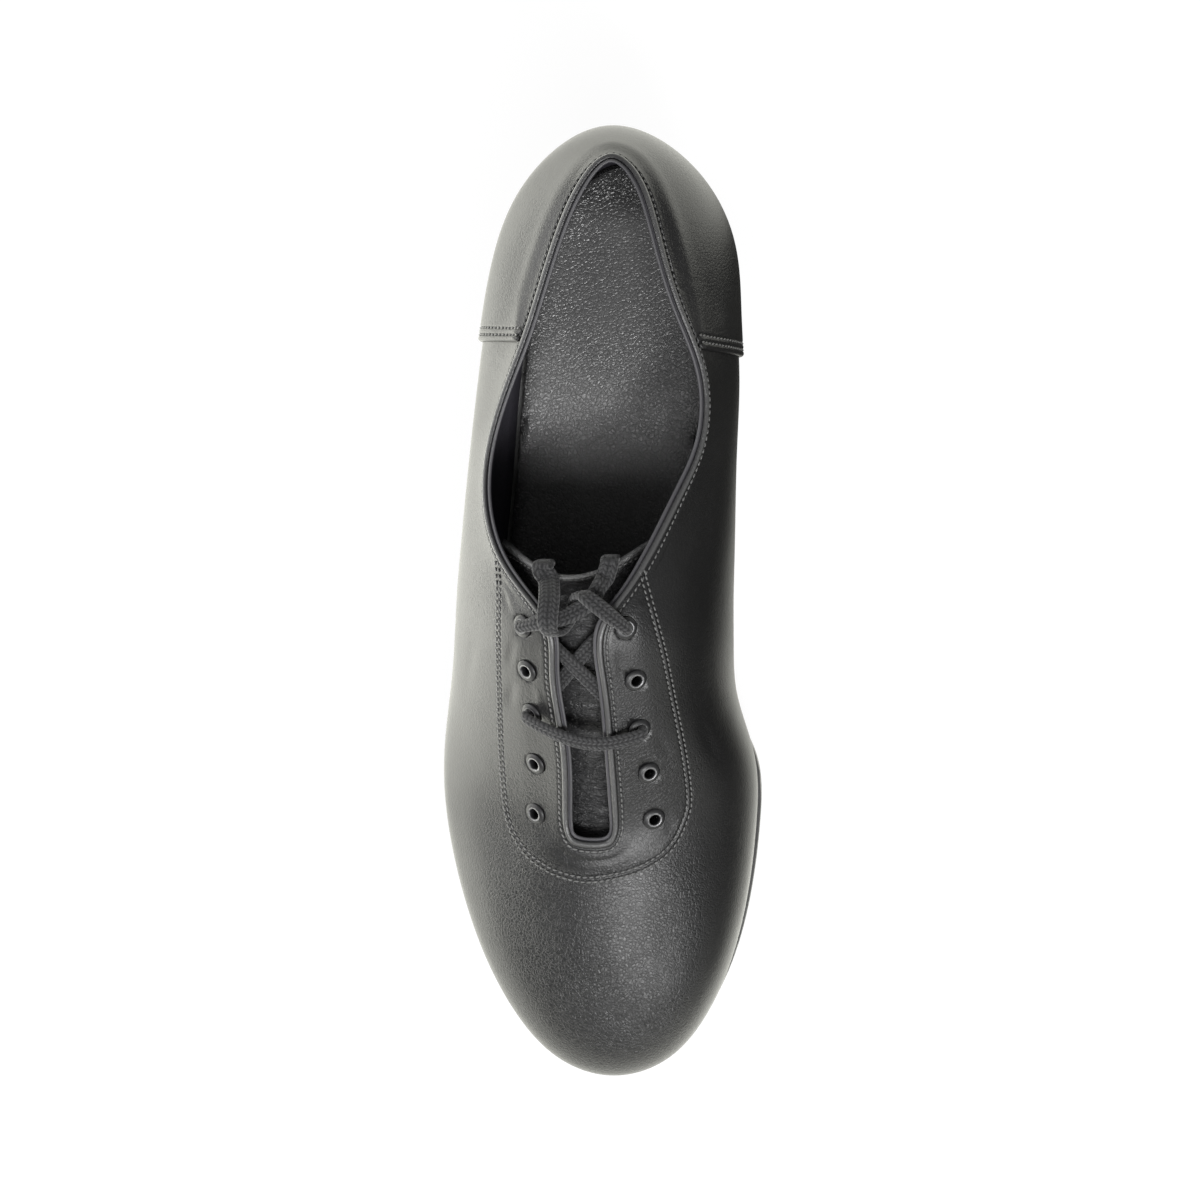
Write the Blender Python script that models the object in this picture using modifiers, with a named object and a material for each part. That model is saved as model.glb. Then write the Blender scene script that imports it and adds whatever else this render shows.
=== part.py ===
"""Dance shoe for the right foot: a low laced oxford on a block heel.

Sizes are in millimetres and become metres where a mesh is made. The frame is the
shoe's own: +Y to the heel, +X to the inner side of the foot, +Z up, floor at Z = 0.
"""

from typing import Callable, NamedTuple

import bmesh
import bpy
import numpy as np
from mathutils import Matrix, Vector

MM = 0.001
GAP = 0.3

# Upper and back panel
WALL = 2.0
TOPLINE_BEAD = 0.5
TOPLINE_WIDTH = 2.4
UPPER_COLUMNS = 84
UPPER_LOWER_ROWS = 3
UPPER_ROWS = 9
COUNTER_THICKNESS = 1.0
COUNTER_CLEARANCE = 0.45
COUNTER_SEAM_LATERAL = 74.7
COUNTER_SEAM_MEDIAL = 73.2
COUNTER_BELOW_EDGE = 3.4
COUNTER_FOOT = 0.2
COUNTER_COLUMNS = 28
COUNTER_ROWS = 9

# Sole, heel and insole
SOLE_THICKNESS = 4.0
SOLE_MARGIN = 1.5
SOLE_POINTS = 84
SOLE_STATION_STEP = 9.0
HEEL_BREAST = 66.0
HEEL_SETBACK = 0.8
HEEL_TAPER = 0.90
HEEL_POINTS = 30
INSOLE_THICKNESS = 2.0
INSOLE_CLEARANCE = 0.45

# Tongue
TONGUE_THICKNESS = 1.4
TONGUE_DROP = 3.8
TONGUE_REACH = 1.15
TONGUE_DIP = 12.0
TONGUE_END = 7.2
TONGUE_CROWN = 11.0
TONGUE_ACROSS = 10
TONGUE_ALONG = 12

# Eyelets
EYELET_HOLE = 1.75
EYELET_BARREL = 2.2
EYELET_FLANGE = 3.3
EYELET_HEIGHT = 0.85
EYELET_STEPS = 10

# Lace
LACE_RADIUS = 1.2
LACE_OVER = 2.7
LACE_OVER_EDGE = 2.1
LACE_UNDER = 1.75
LACE_ON_TONGUE = 1.9
LACE_HANG = 14.0
LACE_SPAN_POINTS = 3


class Rib(NamedTuple):
    """One rib of the upper, from the sole over the widest point to the top edge."""

    belly_x: float
    belly_y: float
    belly_z: float
    inset: float
    top_x: float
    top_y: float
    top_z: float
    rise: float
    reach: float
    drop: float


# From the back of the heel along the inner side to the toe, and back along the outer side.
# The belly is the widest point and inset is how far the sole line lies inside it. The top is on
# the collar or the throat. Rise, reach and drop bend the rib between the belly and the top.
RIBS = {
    "heel_back": Rib(3.0, 136.3, 60.0, 6.0, 6.8, 126.1, 95.0, 0.45, 0.30, 11.0),
    "heel_bend_medial": Rib(23.6, 127.2, 59.5, 6.0, 14.0, 121.1, 94.8, 0.45, 0.32, 11.0),
    "heel_side_medial": Rib(36.4, 107.1, 57.5, 6.5, 19.4, 107.7, 93.0, 0.45, 0.36, 12.0),
    "counter_medial": Rib(39.2, 86.1, 54.5, 7.5, 25.8, 86.7, 88.0, 0.46, 0.40, 12.0),
    "flank_medial": Rib(40.2, 66.1, 50.0, 9.0, 33.2, 66.7, 81.0, 0.48, 0.42, 11.0),
    "arch_medial": Rib(39.7, 46.1, 45.5, 11.0, 33.0, 46.7, 78.6, 0.50, 0.42, 11.0),
    "waist_medial": Rib(39.4, 30.1, 41.5, 12.0, 27.6, 32.7, 80.8, 0.53, 0.44, 10.5),
    "instep_medial": Rib(39.2, 16.1, 38.0, 12.0, 21.4, 18.7, 84.6, 0.57, 0.46, 9.0),
    "throat_medial": Rib(39.0, 3.1, 35.0, 11.5, 14.0, 5.1, 88.6, 0.60, 0.48, 7.0),
    "corner_medial": Rib(39.0, -9.4, 31.0, 9.5, 7.4, -5.9, 90.0, 0.62, 0.50, 6.0),
    "slot_top_medial": Rib(39.6, -22.9, 25.5, 6.5, 7.4, -19.9, 83.5, 0.60, 0.48, 7.0),
    "slot_mid_medial": Rib(44.8, -41.9, 19.5, 2.4, 8.6, -39.9, 71.5, 0.55, 0.46, 8.0),
    "ball_medial": Rib(45.8, -61.9, 17.0, 1.6, 9.0, -57.9, 60.0, 0.50, 0.45, 8.0),
    "toe_side_medial": Rib(43.2, -87.9, 16.5, 1.8, 8.7, -64.1, 56.4, 0.50, 0.45, 10.0),
    "toe_bend_medial": Rib(33.6, -118.0, 16.5, 2.4, 7.0, -66.8, 55.2, 0.56, 0.45, 13.0),
    "toe_round_medial": Rib(22.2, -132.2, 16.8, 3.0, 4.7, -67.4, 55.1, 0.60, 0.45, 14.0),
    "toe_tip": Rib(5.6, -137.8, 17.0, 3.5, 2.3, -67.5, 55.1, 0.62, 0.45, 14.0),
    "toe_round_lateral": Rib(-10.6, -132.8, 17.0, 3.2, 0.0, -67.4, 55.1, 0.60, 0.45, 14.0),
    "toe_bend_lateral": Rib(-23.2, -120.2, 17.2, 2.8, -2.3, -66.8, 55.2, 0.54, 0.45, 14.0),
    "toe_side_lateral": Rib(-38.8, -88.9, 18.0, 2.2, -4.0, -63.9, 56.5, 0.40, 0.45, 13.0),
    "ball_lateral": Rib(-46.0, -56.9, 20.0, 2.2, -4.2, -56.9, 60.5, 0.32, 0.45, 13.0),
    "slot_mid_lateral": Rib(-45.5, -37.9, 24.5, 3.2, -3.9, -39.9, 71.5, 0.36, 0.45, 12.0),
    "slot_top_lateral": Rib(-42.7, -19.9, 32.0, 5.2, -5.9, -18.9, 83.5, 0.42, 0.45, 10.0),
    "corner_lateral": Rib(-41.3, -5.9, 37.5, 6.6, -6.8, -5.9, 89.5, 0.45, 0.45, 9.0),
    "throat_lateral": Rib(-40.4, 4.1, 42.0, 7.2, -14.0, 3.1, 87.0, 0.45, 0.45, 10.0),
    "instep_lateral": Rib(-39.1, 16.1, 46.5, 7.6, -23.0, 14.1, 81.5, 0.45, 0.42, 10.0),
    "waist_lateral": Rib(-37.2, 34.1, 52.0, 8.0, -28.6, 34.1, 76.5, 0.45, 0.40, 10.0),
    "flank_lateral": Rib(-35.2, 55.1, 55.0, 8.0, -24.6, 56.1, 79.5, 0.45, 0.40, 11.0),
    "counter_lateral": Rib(-32.6, 78.1, 58.5, 7.5, -16.5, 77.1, 86.0, 0.45, 0.38, 12.0),
    "heel_side_lateral": Rib(-29.4, 98.1, 60.0, 6.8, -10.0, 97.1, 91.0, 0.45, 0.36, 12.0),
    "heel_bend_lateral": Rib(-19.0, 122.4, 60.5, 6.2, -2.0, 117.1, 94.5, 0.45, 0.33, 11.0),
}


class Station(NamedTuple):
    """Height of the sole's underside at one place along the shoe."""

    y: float
    z: float


SOLE_LINE = (
    Station(-142.0, 9.5),
    Station(-125.0, 4.8),
    Station(-110.0, 1.8),
    Station(-97.0, 0.3),
    Station(-88.0, 0.0),
    Station(-44.0, 0.0),
    Station(-30.0, 1.2),
    Station(-10.0, 6.0),
    Station(10.0, 13.0),
    Station(30.0, 20.5),
    Station(50.0, 27.0),
    Station(66.0, 30.8),
    Station(82.0, 32.6),
    Station(100.0, 33.0),
    Station(142.0, 33.0),
)


class TonguePair(NamedTuple):
    """Two facing ribs between which the tongue is slung, and how far it reaches under them."""

    lateral: str
    medial: str
    tuck: float


TONGUE_PAIRS = (
    TonguePair("toe_bend_lateral", "toe_bend_medial", 11.0),
    TonguePair("toe_side_lateral", "toe_side_medial", 14.0),
    TonguePair("ball_lateral", "ball_medial", 15.0),
    TonguePair("slot_mid_lateral", "slot_mid_medial", 15.0),
    TonguePair("slot_top_lateral", "slot_top_medial", 15.0),
    TonguePair("corner_lateral", "corner_medial", 14.0),
    TonguePair("throat_lateral", "throat_medial", 11.0),
    TonguePair("instep_lateral", "instep_medial", 8.0),
    TonguePair("waist_lateral", "waist_medial", 7.0),
)


class EyeletPlace(NamedTuple):
    """One eyelet: how far along the shoe, and how far below the throat's edge."""

    y: float
    below: float


EYELETS = {
    "eyelet_lateral_1": EyeletPlace(-5.7, 10.0),
    "eyelet_lateral_2": EyeletPlace(-18.3, 10.2),
    "eyelet_lateral_3": EyeletPlace(-30.6, 10.6),
    "eyelet_lateral_4": EyeletPlace(-45.1, 11.8),
    "eyelet_lateral_5": EyeletPlace(-59.8, 12.2),
    "eyelet_medial_1": EyeletPlace(-5.3, 7.4),
    "eyelet_medial_2": EyeletPlace(-19.9, 10.9),
    "eyelet_medial_3": EyeletPlace(-34.0, 10.2),
    "eyelet_medial_4": EyeletPlace(-46.5, 12.0),
    "eyelet_medial_5": EyeletPlace(-60.0, 12.8),
}



class KnotPoint(NamedTuple):
    """One place on the lace's half knot over the throat."""

    x: float
    y: float
    z: float


# The outer strand runs low across the throat. The inner strand goes over it, dips under it, and
# folds back up over it.
KNOT_LATERAL = (
    KnotPoint(-6.2, -3.8, 91.9),
    KnotPoint(-0.7, -2.0, 92.0),
    KnotPoint(4.4, 1.6, 91.4),
    KnotPoint(7.2, 6.4, 90.0),
)
KNOT_MEDIAL = (
    KnotPoint(10.2, -1.6, 93.4),
    KnotPoint(5.6, 2.0, 95.0),
    KnotPoint(2.2, 3.6, 92.4),
    KnotPoint(0.2, 1.2, 89.2),
    KnotPoint(-1.2, -2.6, 88.4),
    KnotPoint(-3.6, -6.6, 89.8),
    KnotPoint(-6.0, -7.0, 92.8),
    KnotPoint(-6.6, -3.6, 95.2),
    KnotPoint(-6.6, 2.4, 93.0),
)


class TongueCrossing(NamedTuple):
    """Where a lace end goes over the tongue's top edge, as a share of the tongue's width."""

    across: float
    end_x: float


LACE_ENDS = {
    "lace_end_lateral": ("eyelet_lateral_1", KNOT_LATERAL, TongueCrossing(0.66, 10.6)),
    "lace_end_medial": ("eyelet_medial_1", KNOT_MEDIAL, TongueCrossing(0.36, -8.6)),
}


class Strand(NamedTuple):
    """One strand of the crossing under the eyestays, and where it leaves each edge of the throat."""

    lateral: str
    medial: str
    lateral_y: float
    medial_y: float


CROSSING = (
    Strand("eyelet_lateral_3", "eyelet_medial_1", -22.6, -10.6),
    Strand("eyelet_lateral_1", "eyelet_medial_3", -13.8, -26.0),
)
BAR = Strand("eyelet_lateral_3", "eyelet_medial_3", -35.0, -37.0)
BAR_SAG = 1.2

LEATHER_BLACK = ("leather_black", (0.020, 0.020, 0.022), 0.42, 0.0)
COUNTER_BLACK = ("counter_black", (0.022, 0.022, 0.024), 0.40, 0.0)
TONGUE_BLACK = ("tongue_black", (0.018, 0.018, 0.020), 0.50, 0.0)
SOLE_BLACK = ("sole_black", (0.030, 0.030, 0.032), 0.60, 0.0)
HEEL_BLACK = ("heel_black", (0.016, 0.016, 0.017), 0.45, 0.0)
SOCK_CHARCOAL = ("sock_charcoal", (0.035, 0.035, 0.038), 0.50, 0.0)
ENAMEL_BLACK = ("enamel_black", (0.045, 0.045, 0.048), 0.30, 1.0)
LACE_CHARCOAL = ("lace_charcoal", (0.030, 0.030, 0.033), 0.90, 0.0)

for leftover in list(bpy.data.objects):
    bpy.data.objects.remove(leftover)

shoe = bpy.data.collections.new("dance_shoe")
cutters = bpy.data.collections.new("cutters")
bpy.context.scene.collection.children.link(shoe)
bpy.context.scene.collection.children.link(cutters)


def closed_spline(knots: np.ndarray, rows: np.ndarray) -> Callable[[np.ndarray], np.ndarray]:
    """Smooth closed curve through the rows, of any number of columns."""
    count = len(rows)
    spans = np.diff(knots)
    slopes = (np.roll(rows, -1, axis=0) - rows) / spans[:, None]
    system = np.zeros((count, count))
    for i in range(count):
        system[i, i - 1] = spans[i - 1]
        system[i, i] = 2.0 * (spans[i - 1] + spans[i])
        system[i, (i + 1) % count] = spans[i]
    bends = np.linalg.solve(system, 6.0 * (slopes - np.roll(slopes, 1, axis=0)))

    def value(turn: np.ndarray) -> np.ndarray:
        turn = np.mod(turn, knots[-1])
        i = np.clip(np.searchsorted(knots, turn, side="right") - 1, 0, count - 1)
        j = (i + 1) % count
        span = spans[i][..., None]
        after = (turn - knots[i])[..., None] / span
        before = 1.0 - after
        bend = (before**3 - before) * bends[i] + (after**3 - after) * bends[j]
        return before * rows[i] + after * rows[j] + bend * span**2 / 6.0

    return value


def flat_spline(stations: tuple[Station, ...]) -> Callable[[np.ndarray], np.ndarray]:
    """Height along the sole that never overshoots its stations, so flat stretches stay flat."""
    y, z = np.array(stations).T
    steps = np.diff(y)
    slopes = np.diff(z) / steps
    same_way = slopes[:-1] * slopes[1:] > 0.0
    total = np.where(same_way, slopes[:-1] + slopes[1:], 1.0)
    inner = np.where(same_way, 2.0 * slopes[:-1] * slopes[1:] / total, 0.0)
    tangents = np.concatenate([slopes[:1], inner, slopes[-1:]])

    def value(at: np.ndarray) -> np.ndarray:
        i = np.clip(np.searchsorted(y, at) - 1, 0, len(steps) - 1)
        t = (at - y[i]) / steps[i]
        rise = (3.0 * t**2 - 2.0 * t**3) * (z[i + 1] - z[i])
        lean = (t - 2.0 * t**2 + t**3) * tangents[i] + (t**3 - t**2) * tangents[i + 1]
        return z[i] + rise + lean * steps[i]

    return value


def bezier(start, first, second, end, t):
    """Cubic curve between two points."""
    s = 1.0 - t
    return s**3 * start + 3.0 * s**2 * t * first + 3.0 * s * t**2 * second + t**3 * end


def unit(vectors: np.ndarray) -> np.ndarray:
    """Vectors scaled to length one."""
    return vectors / np.linalg.norm(vectors, axis=-1, keepdims=True)


RIB_ROWS = np.array(list(RIBS.values()))
RIB_STEPS = np.roll(RIB_ROWS, -1, axis=0) - RIB_ROWS
BELLY_STEPS = np.linalg.norm(RIB_STEPS[:, 0:3], axis=1)
EDGE_STEPS = np.linalg.norm(RIB_STEPS[:, 4:7], axis=1)
RIB_SPANS = 0.75 * BELLY_STEPS + 0.25 * EDGE_STEPS
KNOTS = np.concatenate([[0.0], np.cumsum(RIB_SPANS)])
ROUND = KNOTS[-1]
rib_values = closed_spline(KNOTS, RIB_ROWS)
sole_bottom = flat_spline(SOLE_LINE)


def turn_of(rib: str) -> float:
    """Place of a named rib on the way round the shoe."""
    return KNOTS[list(RIBS).index(rib)]


def outward(turn: np.ndarray) -> np.ndarray:
    """Level direction away from the shoe at its widest line."""
    step = 0.5
    along = rib_values(turn + step)[..., 0:2] - rib_values(turn - step)[..., 0:2]
    return unit(np.stack([-along[..., 1], along[..., 0]], axis=-1))


def foot_line(turn: np.ndarray, margin: float) -> np.ndarray:
    """Plan points of the line where upper and sole meet, moved out by a margin."""
    values = rib_values(turn)
    return values[..., 0:2] + (margin - values[..., 3:4]) * outward(turn)


def shell(turn: np.ndarray, climb: np.ndarray) -> np.ndarray:
    """Outer face of the upper.

    Turn goes round the shoe. Climb goes from 0 at the sole to 1 at the belly and 2 at the top.
    """
    turn, climb = np.broadcast_arrays(np.asarray(turn, float), np.asarray(climb, float))
    values = rib_values(turn)
    belly, inset, top = values[..., 0:3], values[..., 3:4], values[..., 4:7]
    rise, reach, drop = values[..., 7:8], values[..., 8:9], values[..., 9:10]
    up = np.array([0.0, 0.0, 1.0])
    out = np.concatenate([outward(turn), np.zeros_like(inset)], axis=-1)
    level = foot_line(turn, 0.0)
    ground = sole_bottom(level[..., 1:2]) + SOLE_THICKNESS + GAP
    foot = np.concatenate([level, ground], axis=-1)
    height = belly[..., 2:3] - ground
    lower = bezier(
        foot,
        foot + 0.55 * inset * out + 0.15 * height * up,
        belly - 0.55 * height * up,
        belly,
        np.clip(climb, 0.0, 1.0)[..., None],
    )
    across = (belly - top) * np.array([1.0, 1.0, 0.0])
    upper = bezier(
        belly,
        belly + rise * (top[..., 2:3] - belly[..., 2:3]) * up,
        top + reach * across - drop * up,
        top,
        np.clip(climb - 1.0, 0.0, 1.0)[..., None],
    )
    return np.where(climb[..., None] < 1.0, lower, upper)


def skin(turn: np.ndarray, climb: np.ndarray, lift: np.ndarray) -> np.ndarray:
    """Point at a distance from the upper's outer face, outward where lift is positive."""
    step = 0.01
    ahead = shell(turn + 1.0, climb) - shell(turn - 1.0, climb)
    rising = shell(turn, np.minimum(climb + step, 2.0)) - shell(turn, np.maximum(climb - step, 0.0))
    normal = unit(np.cross(rising, ahead))
    return shell(turn, climb) + np.asarray(lift)[..., None] * normal


def climb_below(turn: np.ndarray, distance: np.ndarray) -> np.ndarray:
    """Climb at a distance below the top edge, measured along the rib."""
    turn, distance = np.broadcast_arrays(np.asarray(turn, float), np.asarray(distance, float))
    levels = np.linspace(2.0, 1.0, 81)
    found = np.empty(turn.shape)
    for place in np.ndindex(turn.shape):
        line = shell(np.full_like(levels, turn[place]), levels)
        length = np.concatenate([[0.0], np.cumsum(np.linalg.norm(np.diff(line, axis=0), axis=1))])
        found[place] = np.interp(distance[place], length, levels)
    return found


def turn_at(y: float, below: float, first: str, last: str) -> float:
    """Turn between two ribs at which the upper, some way below its edge, passes a place along the shoe."""
    turns = np.linspace(turn_of(first), turn_of(last), 121)
    along = shell(turns, climb_below(turns, below))[:, 1]
    order = np.argsort(along)
    return float(np.interp(y, along[order], turns[order]))


def material(look: tuple[str, tuple[float, float, float], float, float]) -> bpy.types.Material:
    """Principled material from a name, colour, roughness and metallic value."""
    name, colour, roughness, metallic = look
    if name in bpy.data.materials:
        return bpy.data.materials[name]
    made = bpy.data.materials.new(name)
    made.use_nodes = True
    shader = made.node_tree.nodes["Principled BSDF"]
    shader.inputs["Base Color"].default_value = (*colour, 1.0)
    shader.inputs["Roughness"].default_value = roughness
    shader.inputs["Metallic"].default_value = metallic
    return made


def add_object(name: str, data: bpy.types.ID, look, collection=None) -> bpy.types.Object:
    """Object of a mesh or curve, in the shoe's collection unless another is named."""
    made = bpy.data.objects.new(name, data)
    (collection or shoe).objects.link(made)
    if look:
        data.materials.append(material(look))
    return made


def mesh_of(name: str, bm: bmesh.types.BMesh, smooth: bool = True) -> bpy.types.Mesh:
    """Mesh from a finished bmesh in millimetres."""
    bmesh.ops.scale(bm, vec=(MM, MM, MM), verts=bm.verts)
    mesh = bpy.data.meshes.new(name)
    bm.to_mesh(mesh)
    bm.free()
    if smooth:
        mesh.shade_smooth()
    return mesh


def draped_grid(columns: int, rows: int, place: Callable) -> bmesh.types.BMesh:
    """Grid whose points are laid on a surface by a function of two fractions."""
    bm = bmesh.new()
    bmesh.ops.create_grid(bm, x_segments=columns, y_segments=rows, size=0.5)
    flat = np.array([vert.co[:2] for vert in bm.verts]) + 0.5
    for vert, point in zip(bm.verts, place(flat[:, 0], flat[:, 1])):
        vert.co = point
    return bm


def plate(outline: np.ndarray, low: Callable, high: Callable) -> bmesh.types.BMesh:
    """Closed plate of a plan outline between two heights that change along the shoe."""
    bm = bmesh.new()
    bmesh.ops.create_circle(bm, cap_ends=True, segments=len(outline), radius=1.0)
    for vert, (x, y) in zip(bm.verts, outline):
        vert.co = (x, y, 0.0)
    stations = np.arange(outline[:, 1].min() + 3.0, outline[:, 1].max() - 2.0, SOLE_STATION_STEP)
    for y in stations:
        everything = bm.verts[:] + bm.edges[:] + bm.faces[:]
        bmesh.ops.bisect_plane(
            bm, geom=everything, dist=0.01, plane_co=(0.0, y, 0.0), plane_no=(0.0, 1.0, 0.0)
        )
    raised = bmesh.ops.extrude_face_region(bm, geom=bm.faces[:])["geom"]
    tops = {vert for vert in raised if isinstance(vert, bmesh.types.BMVert)}
    for vert in bm.verts:
        vert.co.z = float((high if vert in tops else low)(np.float64(vert.co.y)))
    bmesh.ops.recalc_face_normals(bm, faces=bm.faces)
    return bm


def solidify(piece: bpy.types.Object, thickness: float, side: float) -> None:
    """Give an open surface its thickness, inward for side -1 and outward for side 1."""
    modifier = piece.modifiers.new("thickness", "SOLIDIFY")
    modifier.thickness = thickness * MM
    modifier.offset = side
    modifier.use_even_offset = True


def cut(piece: bpy.types.Object, cutter: bpy.types.Object, operation: str) -> None:
    """Boolean with a cutter that isn't part of the shoe."""
    modifier = piece.modifiers.new(cutter.name, "BOOLEAN")
    modifier.operation = operation
    modifier.object = cutter
    cutter.hide_render = True
    cutter.display_type = "WIRE"


def eyelet_turns() -> dict[str, float]:
    """Place round the shoe of each eyelet."""
    turns = {}
    for name, place in EYELETS.items():
        side = "lateral" if "lateral" in name else "medial"
        turns[name] = turn_at(place.y, place.below, f"toe_side_{side}", f"throat_{side}")
    return turns


EYELET_TURNS = eyelet_turns()


def eyelet_point(name: str, lift: float) -> np.ndarray:
    """Point on an eyelet's axis, at a height over the upper's outer face."""
    turn = np.array(EYELET_TURNS[name])
    return skin(turn, climb_below(turn, EYELETS[name].below), np.array(lift))


def eyelet_matrix(name: str) -> Matrix:
    """Frame of an eyelet: its origin on the upper's outer face and its Z outward."""
    seat = Vector(eyelet_point(name, 0.0))
    axis = Vector(eyelet_point(name, 1.0)) - seat
    return Matrix.Translation(seat * MM) @ axis.to_track_quat("Z", "Y").to_matrix().to_4x4()


def build_upper() -> bpy.types.Object:
    """Hollow shell of vamp, quarters and eyestay, with a beaded top edge and punched eyelet holes."""
    bead_rows = np.array([TOPLINE_WIDTH + 0.5, TOPLINE_WIDTH, 0.5 * TOPLINE_WIDTH, 0.0])
    bead_lift = np.array([0.0, TOPLINE_BEAD, TOPLINE_BEAD, 0.0])
    plain_rows = UPPER_LOWER_ROWS + UPPER_ROWS

    def place(across, along):
        turn = (1.0 - across) * ROUND
        row = np.rint(along * (plain_rows + len(bead_rows) - 1)).astype(int)
        last_plain = climb_below(turn, bead_rows[0])
        share = np.clip((row - UPPER_LOWER_ROWS) / UPPER_ROWS, 0.0, 1.0)
        climb = np.where(row < UPPER_LOWER_ROWS, row / UPPER_LOWER_ROWS, 1.0 + share * (last_plain - 1.0))
        bead = np.clip(row - plain_rows, 0, len(bead_rows) - 1)
        climb = np.where(row >= plain_rows, climb_below(turn, bead_rows[bead]), climb)
        return skin(turn, climb, np.where(row >= plain_rows, bead_lift[bead], 0.0))

    bm = draped_grid(UPPER_COLUMNS, plain_rows + len(bead_rows) - 1, place)
    bmesh.ops.remove_doubles(bm, verts=bm.verts, dist=0.01)
    piece = add_object("upper", mesh_of("upper", bm), LEATHER_BLACK)
    solidify(piece, WALL, -1.0)

    punch = bmesh.new()
    for name in EYELETS:
        turned = eyelet_matrix(name)
        turned.translation /= MM
        radius = EYELET_BARREL + GAP
        bmesh.ops.create_cone(
            punch,
            cap_ends=True,
            segments=EYELET_STEPS,
            radius1=radius,
            radius2=radius,
            depth=8.0 * WALL,
            matrix=turned,
        )
    cutter = add_object("eyelet_punch", mesh_of("eyelet_punch", punch, False), None, cutters)
    cut(piece, cutter, "DIFFERENCE")
    return piece


def build_counter() -> bpy.types.Object:
    """Back panel laid over the quarters from seam to seam, below the beaded edge."""
    start = turn_at(COUNTER_SEAM_LATERAL, 20.0, "flank_lateral", "heel_side_lateral")
    end = ROUND + turn_at(COUNTER_SEAM_MEDIAL, 20.0, "heel_side_medial", "flank_medial")

    def place(across, along):
        turn = end + across * (start - end)
        top = climb_below(turn, COUNTER_BELOW_EDGE)
        climb = COUNTER_FOOT + along * (top - COUNTER_FOOT)
        return skin(turn, climb, np.full_like(turn, COUNTER_CLEARANCE))

    bm = draped_grid(COUNTER_COLUMNS, COUNTER_ROWS, place)
    piece = add_object("counter", mesh_of("counter", bm), COUNTER_BLACK)
    solidify(piece, COUNTER_THICKNESS, 1.0)
    return piece


def build_outsole() -> bpy.types.Object:
    """Thin sole with arch and toe spring, trimmed close to the upper."""
    turns = np.linspace(0.0, ROUND, SOLE_POINTS, endpoint=False)
    bm = plate(foot_line(turns, SOLE_MARGIN), sole_bottom, lambda y: sole_bottom(y) + SOLE_THICKNESS)
    return add_object("outsole", mesh_of("outsole", bm, False), SOLE_BLACK)


def build_heel() -> bpy.types.Object:
    """Block heel under the seat, tapering to its flat foot."""
    turns = np.linspace(0.0, ROUND, 4 * SOLE_POINTS, endpoint=False)
    outline = foot_line(turns, SOLE_MARGIN - HEEL_SETBACK)
    behind = outline[outline[:, 1] > HEEL_BREAST]
    start = int(np.argmax(np.linalg.norm(np.diff(behind, axis=0), axis=1))) + 1
    ring = np.roll(behind, -start, axis=0)
    ring = ring[np.rint(np.linspace(0, len(ring) - 1, HEEL_POINTS)).astype(int)]
    ring[[0, -1], 1] = HEEL_BREAST
    bm = plate(ring, lambda y: 0.0 * y, lambda y: sole_bottom(y) - GAP)
    middle = Vector((ring[:, 0].mean(), HEEL_BREAST, 0.0))
    for vert in bm.verts:
        if vert.co.z < 1.0:
            vert.co = middle + (vert.co - middle) * HEEL_TAPER
    return add_object("heel", mesh_of("heel", bm, False), HEEL_BLACK)


def build_insole() -> bpy.types.Object:
    """Sock lining on the sole, inside the upper's wall."""
    turns = np.linspace(0.0, ROUND, SOLE_POINTS, endpoint=False)
    seat = SOLE_THICKNESS + GAP
    outline = foot_line(turns, -WALL - INSOLE_CLEARANCE)
    top = seat + INSOLE_THICKNESS
    bm = plate(outline, lambda y: sole_bottom(y) + seat, lambda y: sole_bottom(y) + top)
    return add_object("insole", mesh_of("insole", bm, False), SOCK_CHARCOAL)


def tongue_point(across: np.ndarray, along: np.ndarray) -> np.ndarray:
    """Outer face of the tongue, slung between facing ribs below the inner face of the upper."""
    pairs = np.arange(len(TONGUE_PAIRS))
    depth = np.full_like(along, -(WALL + TONGUE_DROP))
    tuck = np.interp(along * TONGUE_END, pairs, [pair.tuck for pair in TONGUE_PAIRS])
    ends = {}
    for side in ("lateral", "medial"):
        turns = np.array([turn_of(getattr(pair, side)) for pair in TONGUE_PAIRS])
        turn = np.interp(along * TONGUE_END, pairs, turns)
        flank = skin(turn, climb_below(turn, tuck), depth)
        edge = skin(turn, climb_below(turn, 1.0), depth)
        ends[side] = (flank, flank + TONGUE_REACH * (edge - flank))
    point = bezier(*ends["lateral"], *reversed(ends["medial"]), across[:, None])
    dip = TONGUE_DIP * np.sin(np.pi * across) ** 2 * np.clip(4.0 * along - 3.0, 0.0, 1.0) ** 2
    point[:, 1] -= dip
    crown = TONGUE_CROWN * np.sin(np.pi * across) ** 2
    point[:, 2] += crown * np.clip(3.0 * along - 2.0, 0.0, 1.0) ** 1.5
    return point


def build_tongue() -> bpy.types.Object:
    """Sheet under the throat, with its top edge hollowed in the middle."""
    bm = draped_grid(TONGUE_ACROSS, TONGUE_ALONG, tongue_point)
    piece = add_object("tongue", mesh_of("tongue", bm), TONGUE_BLACK)
    solidify(piece, TONGUE_THICKNESS, -1.0)
    return piece


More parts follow.
